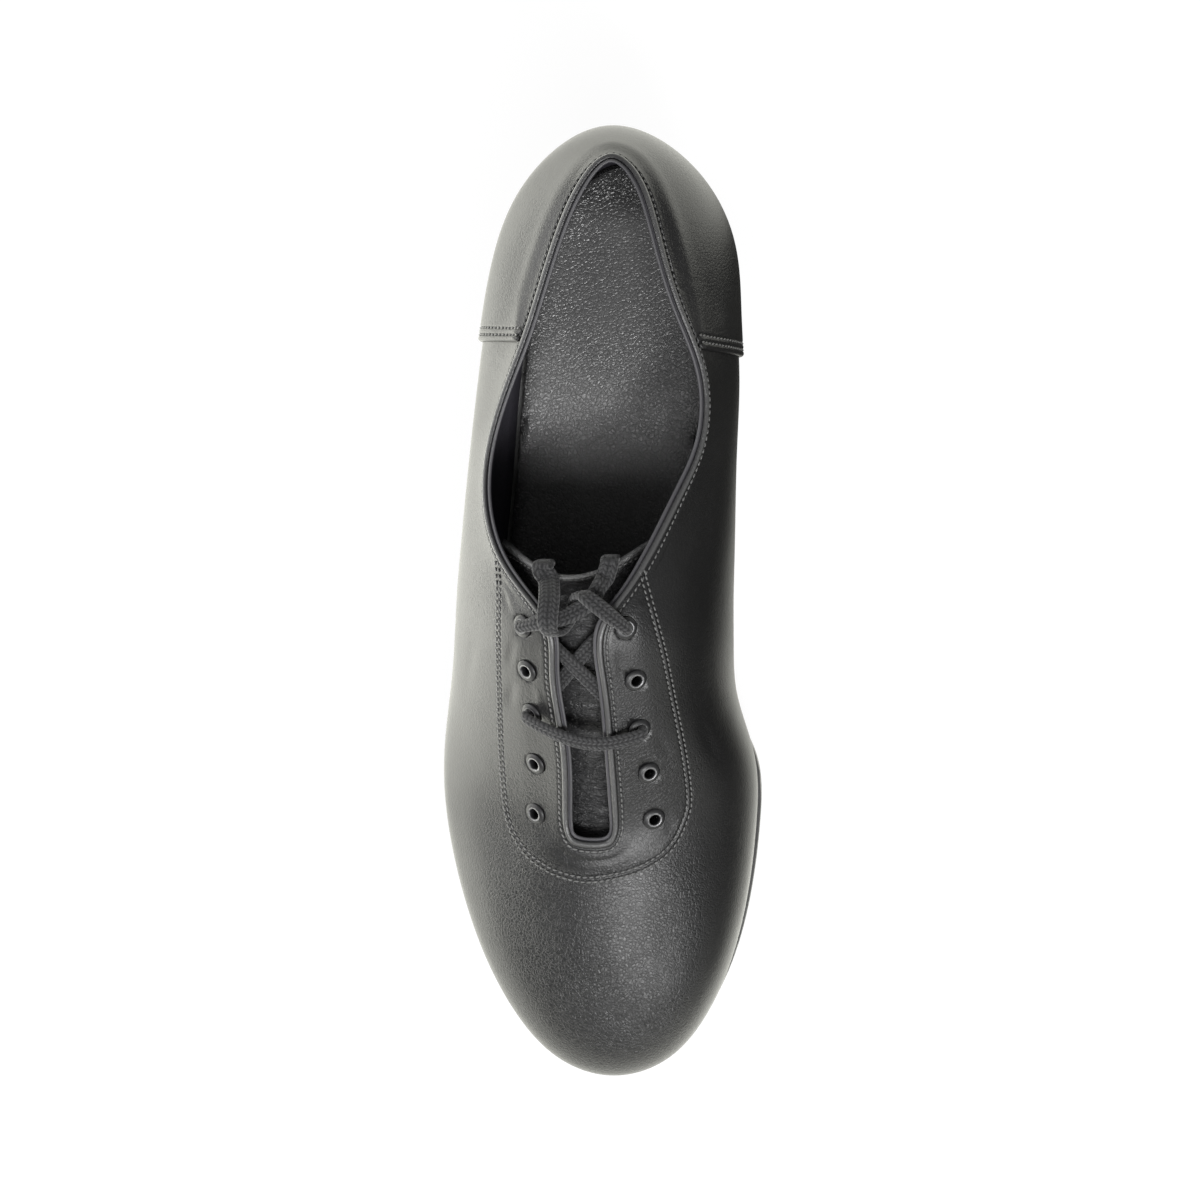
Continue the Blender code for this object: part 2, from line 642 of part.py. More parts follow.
def build_eyelets() -> None:
    """Turned eyelets: a flange on the upper and a barrel through its wall."""
    shoulder = 0.5 * (EYELET_BARREL + EYELET_FLANGE)
    profile = (
        (EYELET_HOLE, GAP + 0.7 * EYELET_HEIGHT),
        (shoulder, GAP + EYELET_HEIGHT),
        (EYELET_FLANGE, GAP + 0.4 * EYELET_HEIGHT),
        (EYELET_FLANGE, GAP),
        (EYELET_BARREL, GAP),
        (EYELET_BARREL, -WALL - 0.2),
        (EYELET_HOLE, -WALL - 0.2),
    )
    bm = bmesh.new()
    corners = [bm.verts.new((radius, 0.0, height)) for radius, height in profile]
    for start, end in zip(corners, corners[1:] + corners[:1]):
        bm.edges.new((start, end))
    mesh = mesh_of("eyelet", bm, False)
    mesh.materials.append(material(ENAMEL_BLACK))
    for name in EYELETS:
        piece = add_object(name, mesh, None)
        piece.matrix_world = eyelet_matrix(name)
        screw = piece.modifiers.new("turning", "SCREW")
        screw.steps = EYELET_STEPS
        screw.render_steps = EYELET_STEPS
        screw.use_merge_vertices = True
        screw.merge_threshold = 0.00001
        screw.use_normal_calculate = True


def smooth_route(points: list[np.ndarray]) -> np.ndarray:
    """Points of a smooth curve through the route's own points."""
    ends = [2.0 * points[0] - points[1], *points, 2.0 * points[-1] - points[-2]]
    route = []
    for before, start, end, after in zip(ends, ends[1:], ends[2:], ends[3:]):
        for t in np.arange(LACE_SPAN_POINTS) / LACE_SPAN_POINTS:
            leave = start + (end - before) / 6.0
            arrive = end - (after - start) / 6.0
            route.append(bezier(start, leave, arrive, end, t))
    route.append(points[-1])
    return np.array(route)


def cord(name: str, points: list[np.ndarray]) -> bpy.types.Object:
    """Round cord along a smooth route."""
    route = smooth_route(points)
    data = bpy.data.curves.new(name, "CURVE")
    data.dimensions = "3D"
    data.bevel_depth = LACE_RADIUS * MM
    data.bevel_resolution = 2
    data.use_fill_caps = True
    spline = data.splines.new("POLY")
    spline.points.add(len(route) - 1)
    for control, point in zip(spline.points, route):
        control.co = (*(point * MM), 1.0)
    return add_object(name, data, LACE_CHARCOAL)


def mesh_cord(name: str, points: list[np.ndarray], collection) -> bpy.types.Object:
    """Cord as a closed mesh, which can be joined to another."""
    curve = cord(f"{name}_route", points)
    evaluated = curve.evaluated_get(bpy.context.evaluated_depsgraph_get())
    mesh = bpy.data.meshes.new_from_object(evaluated)
    bm = bmesh.new()
    bm.from_mesh(mesh)
    bmesh.ops.remove_doubles(bm, verts=bm.verts, dist=0.000001)
    bm.to_mesh(mesh)
    bm.free()
    piece = bpy.data.objects.new(name, mesh)
    collection.objects.link(piece)
    piece.matrix_world = curve.matrix_world
    bpy.data.objects.remove(curve)
    return piece


def throat_edge(side: str, y: float, lift: float) -> np.ndarray:
    """Point over or under the throat's edge at a place along the shoe."""
    turn = np.array(turn_at(y, 0.8, f"ball_{side}", f"throat_{side}"))
    return skin(turn, climb_below(turn, 0.8), np.array(lift))


def strand_route(strand: Strand, at_eyelet: float, at_edge: float) -> list[np.ndarray]:
    """Route between two eyelets across the throat, at heights over the upper's outer face."""
    return [
        eyelet_point(strand.lateral, at_eyelet),
        throat_edge("lateral", strand.lateral_y, at_edge),
        throat_edge("medial", strand.medial_y, at_edge),
        eyelet_point(strand.medial, at_eyelet),
    ]


def build_lace() -> None:
    """Bar over the third eyelets, crossing under the eyestays, half knot and ends."""
    bar = strand_route(BAR, LACE_OVER, LACE_OVER_EDGE)
    middle = (bar[1] + bar[2]) / 2.0 - np.array([0.0, BAR_SAG, 0.0])
    cord("lace_bar", [*bar[:2], middle, *bar[2:]])

    under = -WALL - LACE_UNDER
    first, second = (strand_route(strand, under, under) for strand in CROSSING)
    crossing = mesh_cord("lace_cross", first, shoe)
    cut(crossing, mesh_cord("lace_cross_strand", second, cutters), "UNION")

    for name, (eyelet, knot, over) in LACE_ENDS.items():
        across = np.array([over.across, over.across])
        near, edge = tongue_point(across, np.array([0.92, 1.0]))
        lift = np.array([0.0, 0.0, LACE_ON_TONGUE])
        past = edge + np.array([0.0, 2.6, 0.4])
        end = np.array([over.end_x, past[1] + 1.6, past[2] - LACE_HANG])
        out_of_eyelet = eyelet_point(eyelet, LACE_OVER)
        over_tongue = [near + 1.5 * lift, edge + lift, past, end]
        cord(name, [out_of_eyelet, *map(np.array, knot), *over_tongue])


def main() -> None:
    """Build every piece of the shoe."""
    build_upper()
    build_counter()
    build_outsole()
    build_heel()
    build_insole()
    build_tongue()
    build_eyelets()
    build_lace()


main()
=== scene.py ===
"""Looks of a right-foot dance shoe, a low laced oxford in black leather on a block heel.

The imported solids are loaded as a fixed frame, and each is replaced by a finer piece that lies on the
same surface. Lengths are in millimetres and become metres where a mesh is made. +Y goes to the heel,
+X to the inner side of the foot, +Z up, and the floor is at Z = 0.
"""

import logging
import math
from dataclasses import dataclass
from enum import Enum
from typing import Callable, Iterable, NamedTuple

import bmesh
import bpy
import numpy as np
from mathutils import Matrix, Quaternion, Vector
from mathutils.kdtree import KDTree


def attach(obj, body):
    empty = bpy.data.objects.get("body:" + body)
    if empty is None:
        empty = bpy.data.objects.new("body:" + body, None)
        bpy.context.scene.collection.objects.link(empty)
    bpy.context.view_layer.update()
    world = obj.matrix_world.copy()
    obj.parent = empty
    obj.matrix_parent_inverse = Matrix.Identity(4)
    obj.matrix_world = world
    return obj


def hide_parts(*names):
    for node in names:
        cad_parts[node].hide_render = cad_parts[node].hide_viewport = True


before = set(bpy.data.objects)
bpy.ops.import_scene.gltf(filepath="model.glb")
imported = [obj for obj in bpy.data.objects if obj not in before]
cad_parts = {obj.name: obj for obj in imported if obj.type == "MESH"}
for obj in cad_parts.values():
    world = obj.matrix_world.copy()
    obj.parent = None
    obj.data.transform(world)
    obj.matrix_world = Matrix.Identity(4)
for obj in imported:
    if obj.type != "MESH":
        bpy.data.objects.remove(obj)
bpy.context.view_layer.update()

LOG = logging.getLogger("dance_shoe")
MM = 0.001
BODY = "root"
UP = np.array([0.0, 0.0, 1.0])

Array = np.ndarray
BMesh = bmesh.types.BMesh
Material = bpy.types.Material
Socket = bpy.types.NodeSocket
Curve = Callable[[Array], Array]
Surface = Callable[[Array, Array], Array]
Height = Callable[[float, float], float]


class Side(Enum):
    """Side of the foot."""

    LATERAL = "lateral"
    MEDIAL = "medial"


class Slot(Enum):
    """Material slots of the record."""

    UPPER = "upper_leather"
    COUNTER = "counter_leather"
    TONGUE = "tongue_leather"
    SOCK = "sock_leather"
    SOLE = "sole"
    HEEL = "heel"
    EYELET = "eyelet_enamel"
    LACE = "lace"


class Rib(NamedTuple):
    """One rib of the upper, from the sole over the widest point to the top edge."""

    belly_x: float
    belly_y: float
    belly_z: float
    inset: float
    top_x: float
    top_y: float
    top_z: float
    rise: float
    reach: float
    drop: float


# From the back of the heel along the inner side to the toe, and back along the outer side.
RIBS = {
    "heel_back": Rib(3.0, 136.3, 60.0, 6.0, 6.8, 126.1, 95.0, 0.45, 0.30, 11.0),
    "heel_bend_medial": Rib(23.6, 127.2, 59.5, 6.0, 14.0, 121.1, 94.8, 0.45, 0.32, 11.0),
    "heel_side_medial": Rib(36.4, 107.1, 57.5, 6.5, 19.4, 107.7, 93.0, 0.45, 0.36, 12.0),
    "counter_medial": Rib(39.2, 86.1, 54.5, 7.5, 25.8, 86.7, 88.0, 0.46, 0.40, 12.0),
    "flank_medial": Rib(40.2, 66.1, 50.0, 9.0, 33.2, 66.7, 81.0, 0.48, 0.42, 11.0),
    "arch_medial": Rib(39.7, 46.1, 45.5, 11.0, 33.0, 46.7, 78.6, 0.50, 0.42, 11.0),
    "waist_medial": Rib(39.4, 30.1, 41.5, 12.0, 27.6, 32.7, 80.8, 0.53, 0.44, 10.5),
    "instep_medial": Rib(39.2, 16.1, 38.0, 12.0, 21.4, 18.7, 84.6, 0.57, 0.46, 9.0),
    "throat_medial": Rib(39.0, 3.1, 35.0, 11.5, 14.0, 5.1, 88.6, 0.60, 0.48, 7.0),
    "corner_medial": Rib(39.0, -9.4, 31.0, 9.5, 7.4, -5.9, 90.0, 0.62, 0.50, 6.0),
    "slot_top_medial": Rib(39.6, -22.9, 25.5, 6.5, 7.4, -19.9, 83.5, 0.60, 0.48, 7.0),
    "slot_mid_medial": Rib(44.8, -41.9, 19.5, 2.4, 8.6, -39.9, 71.5, 0.55, 0.46, 8.0),
    "ball_medial": Rib(45.8, -61.9, 17.0, 1.6, 9.0, -57.9, 60.0, 0.50, 0.45, 8.0),
    "toe_side_medial": Rib(43.2, -87.9, 16.5, 1.8, 8.7, -64.1, 56.4, 0.50, 0.45, 10.0),
    "toe_bend_medial": Rib(33.6, -118.0, 16.5, 2.4, 7.0, -66.8, 55.2, 0.56, 0.45, 13.0),
    "toe_round_medial": Rib(22.2, -132.2, 16.8, 3.0, 4.7, -67.4, 55.1, 0.60, 0.45, 14.0),
    "toe_tip": Rib(5.6, -137.8, 17.0, 3.5, 2.3, -67.5, 55.1, 0.62, 0.45, 14.0),
    "toe_round_lateral": Rib(-10.6, -132.8, 17.0, 3.2, 0.0, -67.4, 55.1, 0.60, 0.45, 14.0),
    "toe_bend_lateral": Rib(-23.2, -120.2, 17.2, 2.8, -2.3, -66.8, 55.2, 0.54, 0.45, 14.0),
    "toe_side_lateral": Rib(-38.8, -88.9, 18.0, 2.2, -4.0, -63.9, 56.5, 0.40, 0.45, 13.0),
    "ball_lateral": Rib(-46.0, -56.9, 20.0, 2.2, -4.2, -56.9, 60.5, 0.32, 0.45, 13.0),
    "slot_mid_lateral": Rib(-45.5, -37.9, 24.5, 3.2, -3.9, -39.9, 71.5, 0.36, 0.45, 12.0),
    "slot_top_lateral": Rib(-42.7, -19.9, 32.0, 5.2, -5.9, -18.9, 83.5, 0.42, 0.45, 10.0),
    "corner_lateral": Rib(-41.3, -5.9, 37.5, 6.6, -6.8, -5.9, 89.5, 0.45, 0.45, 9.0),
    "throat_lateral": Rib(-40.4, 4.1, 42.0, 7.2, -14.0, 3.1, 87.0, 0.45, 0.45, 10.0),
    "instep_lateral": Rib(-39.1, 16.1, 46.5, 7.6, -23.0, 14.1, 81.5, 0.45, 0.42, 10.0),
    "waist_lateral": Rib(-37.2, 34.1, 52.0, 8.0, -28.6, 34.1, 76.5, 0.45, 0.40, 10.0),
    "flank_lateral": Rib(-35.2, 55.1, 55.0, 8.0, -24.6, 56.1, 79.5, 0.45, 0.40, 11.0),
    "counter_lateral": Rib(-32.6, 78.1, 58.5, 7.5, -16.5, 77.1, 86.0, 0.45, 0.38, 12.0),
    "heel_side_lateral": Rib(-29.4, 98.1, 60.0, 6.8, -10.0, 97.1, 91.0, 0.45, 0.36, 12.0),
    "heel_bend_lateral": Rib(-19.0, 122.4, 60.5, 6.2, -2.0, 117.1, 94.5, 0.45, 0.33, 11.0),
}


class Station(NamedTuple):
    """Height of the sole's underside at one place along the shoe."""

    y: float
    z: float


SOLE_LINE = (
    Station(-142.0, 9.5),
    Station(-125.0, 4.8),
    Station(-110.0, 1.8),
    Station(-97.0, 0.3),
    Station(-88.0, 0.0),
    Station(-44.0, 0.0),
    Station(-30.0, 1.2),
    Station(-10.0, 6.0),
    Station(10.0, 13.0),
    Station(30.0, 20.5),
    Station(50.0, 27.0),
    Station(66.0, 30.8),
    Station(82.0, 32.6),
    Station(100.0, 33.0),
    Station(142.0, 33.0),
)


def closed_spline(knots: Array, rows: Array) -> Curve:
    """Smooth closed curve through rows of any number of columns.

    Args:
        knots: Place of each row on the way round, with the full length last.
        rows: The rows.

    Returns:
        Function of the place on the way round.
    """
    count = len(rows)
    spans = np.diff(knots)
    slopes = (np.roll(rows, -1, axis=0) - rows) / spans[:, None]
    system = np.zeros((count, count))
    for i in range(count):
        system[i, i - 1] = spans[i - 1]
        system[i, i] = 2.0 * (spans[i - 1] + spans[i])
        system[i, (i + 1) % count] = spans[i]
    bends = np.linalg.solve(system, 6.0 * (slopes - np.roll(slopes, 1, axis=0)))

    def value(turn: Array) -> Array:
        """Rows at places on the way round."""
        turn = np.mod(turn, knots[-1])
        i = np.clip(np.searchsorted(knots, turn, side="right") - 1, 0, count - 1)
        j = (i + 1) % count
        span = spans[i][..., None]
        after = (turn - knots[i])[..., None] / span
        before = 1.0 - after
        bend = (before**3 - before) * bends[i] + (after**3 - after) * bends[j]
        return before * rows[i] + after * rows[j] + bend * span**2 / 6.0

    return value


def flat_spline(stations: tuple[Station, ...]) -> Curve:
    """Height along the sole that never overshoots its stations.

    Args:
        stations: Places along the shoe and their heights.

    Returns:
        Function of the place along the shoe.
    """
    y, z = np.array(stations).T
    steps = np.diff(y)
    slopes = np.diff(z) / steps
    same_way = slopes[:-1] * slopes[1:] > 0.0
    total = np.where(same_way, slopes[:-1] + slopes[1:], 1.0)
    inner = np.where(same_way, 2.0 * slopes[:-1] * slopes[1:] / total, 0.0)
    tangents = np.concatenate([slopes[:1], inner, slopes[-1:]])

    def value(at: Array) -> Array:
        """Heights at places along the shoe."""
        i = np.clip(np.searchsorted(y, at) - 1, 0, len(steps) - 1)
        t = (at - y[i]) / steps[i]
        rise = (3.0 * t**2 - 2.0 * t**3) * (z[i + 1] - z[i])
        lean = (t - 2.0 * t**2 + t**3) * tangents[i] + (t**3 - t**2) * tangents[i + 1]
        return z[i] + rise + lean * steps[i]

    return value


def bezier(
    start: Array, first: Array, second: Array, end: Array, t: Array
) -> Array:
    """Cubic curve between two points."""
    s = 1.0 - t
    return s**3 * start + 3.0 * s**2 * t * first + 3.0 * s * t**2 * second + t**3 * end


def unit(vectors: Array) -> Array:
    """Vectors scaled to length one."""
    return vectors / np.maximum(np.linalg.norm(vectors, axis=-1, keepdims=True), 1e-12)


def smooth(share: Array) -> Array:
    """Soft step from 0 to 1 as the share does."""
    share = np.clip(share, 0.0, 1.0)
    return share * share * (3.0 - 2.0 * share)


def hump(distance: Array, width: float) -> Array:
    """Soft bell of height one over a distance."""
    return np.exp(-((distance / width) ** 2))


def through(points: Array, per_span: int) -> Array:
    """Points of a smooth open curve through rows of any number of columns.

    Args:
        points: Rows that the curve passes.
        per_span: Points made between two rows.

    Returns:
        The rows of the curve.
    """
    ends = np.vstack([2.0 * points[0] - points[1], points, 2.0 * points[-1] - points[-2]])
    route = []
    for before, start, end, after in zip(ends, ends[1:], ends[2:], ends[3:]):
        for t in np.arange(per_span) / per_span:
            leave = start + (end - before) / 6.0
            arrive = end - (after - start) / 6.0
            route.append(bezier(start, leave, arrive, end, t))
    route.append(points[-1])
    return np.array(route)


def evenly(rows: Array, step: float) -> Array:
    """A line's rows again at even steps of length.

    Args:
        rows: Rows whose first three columns are the point.
        step: Wanted length between rows.

    Returns:
        The new rows, first and last kept.
    """
    lengths = np.linalg.norm(np.diff(rows[:, :3], axis=0), axis=1)
    run = np.concatenate([[0.0], np.cumsum(lengths)])
    places = np.linspace(0.0, run[-1], max(2, int(round(run[-1] / step)) + 1))
    return np.stack([np.interp(places, run, column) for column in rows.T], axis=1)


def crossed(first: Array, second: Array) -> Array:
    """Areas spanned by pairs of plan vectors."""
    return first[:, 0] * second[:, 1] - first[:, 1] * second[:, 0]


def tree_of(points: Array) -> KDTree:
    """Search tree of points, with those of a plan laid at height 0.

    Args:
        points: Rows of two or three columns.

    Returns:
        The tree.
    """
    tree = KDTree(len(points))
    for i, point in enumerate(points):
        tree.insert((*point, 0.0)[:3], i)
    tree.balance()
    return tree


@dataclass
class Last:
    """The upper's outer face as a function of two numbers.

    Turn goes round the shoe. Climb goes from 0 at the sole to 1 at the belly and 2 at the top edge.
    """

    wall: float = 2.0
    sole_thickness: float = 4.0
    gap: float = 0.3
    belly_share: float = 0.75
    foot_flare: float = 0.55
    foot_rise: float = 0.15
    belly_pull: float = 0.55
    rib_levels: int = 121
    rib_turns: int = 121
    plan_turns: int = 700
    plan_climbs: int = 60
    search_rounds: int = 4
    turn_step: float = 0.2
    climb_step: float = 0.004
    most_turn: float = 2.0
    most_climb: float = 0.05
    least_area: float = 1e-6

    def __post_init__(self) -> None:
        """Work out the splines round the shoe and along the sole."""
        rows = np.array(list(RIBS.values()))
        steps = np.roll(rows, -1, axis=0) - rows
        belly = np.linalg.norm(steps[:, 0:3], axis=1)
        edge = np.linalg.norm(steps[:, 4:7], axis=1)
        spans = self.belly_share * belly + (1.0 - self.belly_share) * edge
        self.knots = np.concatenate([[0.0], np.cumsum(spans)])
        self.round = float(self.knots[-1])
        self.values = closed_spline(self.knots, rows)
        self.sole = flat_spline(SOLE_LINE)

    def turn_of(self, rib: str) -> float:
        """Place of a named rib on the way round."""
        return float(self.knots[list(RIBS).index(rib)])

    def outward(self, turn: Array) -> Array:
        """Level direction away from the shoe at its widest line."""
        along = self.values(turn + 0.5)[..., 0:2] - self.values(turn - 0.5)[..., 0:2]
        return unit(np.stack([-along[..., 1], along[..., 0]], axis=-1))

    def foot_line(self, turn: Array, margin: float) -> Array:
        """Plan points of the line where upper and sole meet, moved out by a margin."""
        values = self.values(turn)
        return values[..., 0:2] + (margin - values[..., 3:4]) * self.outward(turn)

    def shell(self, turn: Array, climb: Array) -> Array:
        """Points of the outer face.

        Args:
            turn: Places round the shoe.
            climb: Places up the rib.

        Returns:
            The points.
        """
        turn, climb = np.broadcast_arrays(np.asarray(turn, float), np.asarray(climb, float))
        values = self.values(turn)
        belly, inset, top = values[..., 0:3], values[..., 3:4], values[..., 4:7]
        rise, reach, drop = values[..., 7:8], values[..., 8:9], values[..., 9:10]
        out = np.concatenate([self.outward(turn), np.zeros_like(inset)], axis=-1)
        level = self.foot_line(turn, 0.0)
        ground = self.sole(level[..., 1:2]) + self.sole_thickness + self.gap
        foot = np.concatenate([level, ground], axis=-1)
        height = belly[..., 2:3] - ground
        lower = bezier(
            foot,
            foot + self.foot_flare * inset * out + self.foot_rise * height * UP,
            belly - self.belly_pull * height * UP,
            belly,
            np.clip(climb, 0.0, 1.0)[..., None],
        )
        across = (belly - top) * np.array([1.0, 1.0, 0.0])
        upper = bezier(
            belly,
            belly + rise * (top[..., 2:3] - belly[..., 2:3]) * UP,
            top + reach * across - drop * UP,
            top,
            np.clip(climb - 1.0, 0.0, 1.0)[..., None],
        )
        return np.where(climb[..., None] < 1.0, lower, upper)

    def normal(self, turn: Array, climb: Array) -> Array:
        """Outward directions of the outer face.

        Args:
            turn: Places round the shoe.
            climb: Places up the rib.

        Returns:
            The directions, of length one.
        """
        step = 0.01
        ahead = self.shell(turn + 1.0, climb) - self.shell(turn - 1.0, climb)
        high = np.minimum(climb + step, 2.0)
        low = np.maximum(climb - step, 0.0)
        return unit(np.cross(self.shell(turn, high) - self.shell(turn, low), ahead))

    def skin(self, turn: Array, climb: Array, lift: Array) -> Array:
        """Points at a distance from the outer face, outward where lift is positive.

        Args:
            turn: Places round the shoe.
            climb: Places up the rib.
            lift: Distances from the face.

        Returns:
            The points.
        """
        turn, climb, lift = np.broadcast_arrays(
            np.asarray(turn, float), np.asarray(climb, float), np.asarray(lift, float)
        )
        return self.shell(turn, climb) + lift[..., None] * self.normal(turn, climb)

    def rib_lengths(self, turns: Array) -> tuple[Array, Array]:
        """Length from the top edge down to each of a row of levels, for each turn.

        Args:
            turns: Places round the shoe.

        Returns:
            The levels, and one row of lengths for each turn.
        """
        levels = np.linspace(2.0, 1.0, self.rib_levels)
        line = self.shell(turns[:, None], levels[None, :])
        steps = np.linalg.norm(np.diff(line, axis=1), axis=2)
        return levels, np.concatenate([np.zeros((len(turns), 1)), np.cumsum(steps, axis=1)], axis=1)

    def climb_below(self, turn: Array, below: Array) -> Array:
        """Climb at a distance below the top edge, measured along the rib.

        Args:
            turn: Places round the shoe.
            below: Distances below the edge.

        Returns:
            The climbs.
        """
        turn, below = np.broadcast_arrays(np.asarray(turn, float), np.asarray(below, float))
        turns, index = np.unique(np.round(turn.ravel(), 5), return_inverse=True)
        levels, lengths = self.rib_lengths(turns)
        order = np.argsort(index.ravel(), kind="stable")
        bounds = np.searchsorted(index.ravel()[order], np.arange(len(turns) + 1))
        found = np.empty(turn.size)
        flat = below.ravel()
        for i, length in enumerate(lengths):
            at = order[bounds[i] : bounds[i + 1]]
            found[at] = np.interp(flat[at], length, levels)
        return found.reshape(turn.shape)

    def edge(self, turn: Array, below: Array, lift: Array) -> Array:
        """Points near the top edge; below may be negative, past the edge.

        Args:
            turn: Places round the shoe.
            below: Distances below the edge.
            lift: Distances from the outer face.

        Returns:
            The points.
        """
        climb = self.climb_below(turn, np.maximum(below, 0.0))
        past = np.maximum(-np.asarray(below, float), 0.0)[..., None]
        top, near_top = np.full_like(climb, 2.0), np.full_like(climb, 1.98)
        rising = unit(self.shell(turn, top) - self.shell(turn, near_top))
        return self.skin(turn, climb, lift) + past * rising

    def turn_at(self, y: float, below: float, first: str, last: str) -> float:
        """Turn between two ribs at which the upper passes a place along the shoe.

        Args:
            y: Place along the shoe.
            below: Distance below the top edge.
            first: Rib at which the search starts.
            last: Rib at which it ends.

        Returns:
            The turn.
        """
        turns = np.linspace(self.turn_of(first), self.turn_of(last), self.rib_turns)
        along = self.shell(turns, self.climb_below(turns, np.full_like(turns, below)))[:, 1]
        order = np.argsort(along)
        return float(np.interp(y, along[order], turns[order]))

    def under(self, plan: Array) -> tuple[Array, Array]:
        """Turn and climb of the outer face under points of the plan.

        Args:
            plan: Rows of x and y.

        Returns:
            Turns and climbs, between belly and top edge.
        """
        turns = np.linspace(0.0, self.round, self.plan_turns, endpoint=False)
        climbs = np.linspace(1.05, 2.0, self.plan_climbs)
        grid = self.shell(turns[:, None], climbs[None, :])[..., :2].reshape(-1, 2)
        tree = tree_of(grid)
        found = np.array([tree.find((x, y, 0.0))[1] for x, y in plan])
        turn, climb = turns[found // len(climbs)], climbs[found % len(climbs)]
        for _ in range(self.search_rounds):
            here = self.shell(turn, climb)[:, :2]
            by_turn = (self.shell(turn + self.turn_step, climb)[:, :2] - here) / self.turn_step
            by_climb = (here - self.shell(turn, climb - self.climb_step)[:, :2]) / self.climb_step
            miss = plan - here
            area = crossed(by_turn, by_climb)
            area = np.where(np.abs(area) < self.least_area, self.least_area, area)
            onward = np.clip(crossed(miss, by_climb) / area, -self.most_turn, self.most_turn)
            upward = np.clip(crossed(by_turn, miss) / area, -self.most_climb, self.most_climb)
            turn = turn + onward
            climb = np.clip(climb + upward, 1.0, 2.0)
        return turn, climb

    def below_of(self, turn: Array, climb: Array) -> Array:
        """Distances below the top edge, along the rib, of climbs from belly to edge."""
        levels, lengths = self.rib_lengths(turn)
        return np.array([np.interp(-c, -levels, row) for c, row in zip(climb, lengths)])


@dataclass
class SeamLine:
    """A line on a surface: its points and the surface's outward directions there."""

    points: Array
    normals: Array

    def aside(self, sideways: float) -> "SeamLine":
        """The line moved sideways on the surface."""
        along = unit(np.gradient(self.points, axis=0))
        return SeamLine(self.points + sideways * np.cross(self.normals, along), self.normals)

    def spaced(self, step: float) -> tuple[Array, Array, Array]:
        """Points at even steps, with the line's own and the surface's directions."""
        rows = evenly(np.hstack([self.points, self.normals]), step)
        return rows[:, :3], unit(np.gradient(rows[:, :3], axis=0)), unit(rows[:, 3:])


def seam_on(last: Last, turn: Array, climb: Array) -> SeamLine:
    """Line on the upper through turns and climbs."""
    return SeamLine(last.shell(turn, climb), last.normal(turn, climb))


class Crease(NamedTuple):
    """A soft trough, or ridge where depth is negative, along plan points."""

    width: float
    depth: float
    plan: tuple[tuple[float, float], ...]


# Pull of the lace at the eyelets, the break over the toes and the slack above the inner arch.
UPPER_CREASES = (
    Crease(1.6, 0.30, ((-17.5, -21.5), (-19.8, -25.0), (-21.2, -29.0))),
    Crease(1.5, 0.26, ((-16.8, -9.5), (-19.0, -13.0), (-20.4, -17.0))),
    Crease(1.5, 0.24, ((-18.6, -2.5), (-20.6, 1.2), (-21.4, 5.0))),
    Crease(1.4, 0.22, ((-10.6, -13.0), (-9.2, -18.5), (-9.0, -24.0))),
    Crease(1.5, -0.22, ((-11.2, -22.0), (-10.6, -28.0), (-10.4, -34.0))),
    Crease(1.6, 0.24, ((12.2, -12.0), (13.0, -16.0), (12.6, -23.0))),
    Crease(1.6, 0.22, ((20.0, -33.0), (23.0, -38.0), (25.0, -44.0))),
    Crease(1.5, 0.20, ((21.5, -57.0), (24.0, -60.5), (25.0, -64.5))),
    Crease(5.2, 0.62, ((-20.0, -72.0), (-8.0, -77.5), (3.0, -78.5), (14.0, -76.0), (26.0, -69.0))),
    Crease(9.0, -0.45, ((-12.0, -95.0), (2.0, -99.0), (16.0, -95.0))),
    Crease(2.6, 0.30, ((33.0, -30.0), (35.5, -38.0), (39.0, -45.0))),
    Crease(3.4, 0.30, ((33.5, 12.0), (34.4, 22.0), (34.6, 34.0))),
    Crease(2.4, 0.22, ((-31.0, -8.0), (-33.5, -16.0), (-36.0, -26.0))),
    Crease(0.8, 0.30, ((20.6, 14.4), (22.6, 15.2), (24.6, 14.6))),
    Crease(0.8, 0.26, ((21.6, 17.2), (23.6, 17.8), (25.4, 17.2))),
    Crease(0.9, 0.22, ((19.4, 11.4), (21.6, 12.2), (23.6, 11.4))),
)

# Small crumples on the inner side of the heel, close to the collar.
COUNTER_CREASES = (
    Crease(0.9, 0.42, ((26.2, 93.0), (28.4, 92.2), (30.6, 92.6))),
    Crease(0.8, 0.34, ((25.6, 90.6), (27.6, 89.8), (29.6, 89.6))),
    Crease(0.9, -0.28, ((26.0, 91.8), (28.2, 91.0), (30.8, 91.1))),
    Crease(1.2, 0.30, ((24.4, 96.4), (26.0, 95.6), (27.6, 95.6))),
    Crease(3.2, 0.35, ((31.4, 96.0), (33.8, 88.0), (35.2, 80.0))),
    Crease(
        2.6,
        -0.55,
        ((14.0, 126.0), (18.6, 119.5), (23.2, 109.0), (26.6, 98.0), (29.4, 88.0), (33.0, 77.0)),
    ),
    Crease(2.6, -0.40, ((-1.0, 124.0), (-7.0, 115.0), (-13.8, 99.0), (-19.0, 82.0))),
)


def creased(last: Last, points: Array, creases: tuple[Crease, ...]) -> Array:
    """Lift that creases give to points.

    Args:
        last: The upper's surface.
        points: Points on it.
        creases: Troughs and ridges.

    Returns:
        Lift of each point, negative in a trough.
    """
    lift = np.zeros(len(points))
    for crease in creases:
        plan = through(np.array(crease.plan), 8)
        line = last.shell(*last.under(plan))
        reach = 3.0 * crease.width
        near = np.flatnonzero(np.all((points > line.min(0) - reach) & (points < line.max(0) + reach), axis=1))
        gaps = np.linalg.norm(points[near, None, :] - line[None, :, :], axis=2)
        fade = np.sin(np.pi * np.clip((gaps.argmin(1) + 0.5) / len(line), 0.06, 0.94))
        lift[near] -= crease.depth * fade * hump(gaps.min(1), crease.width)
    return lift


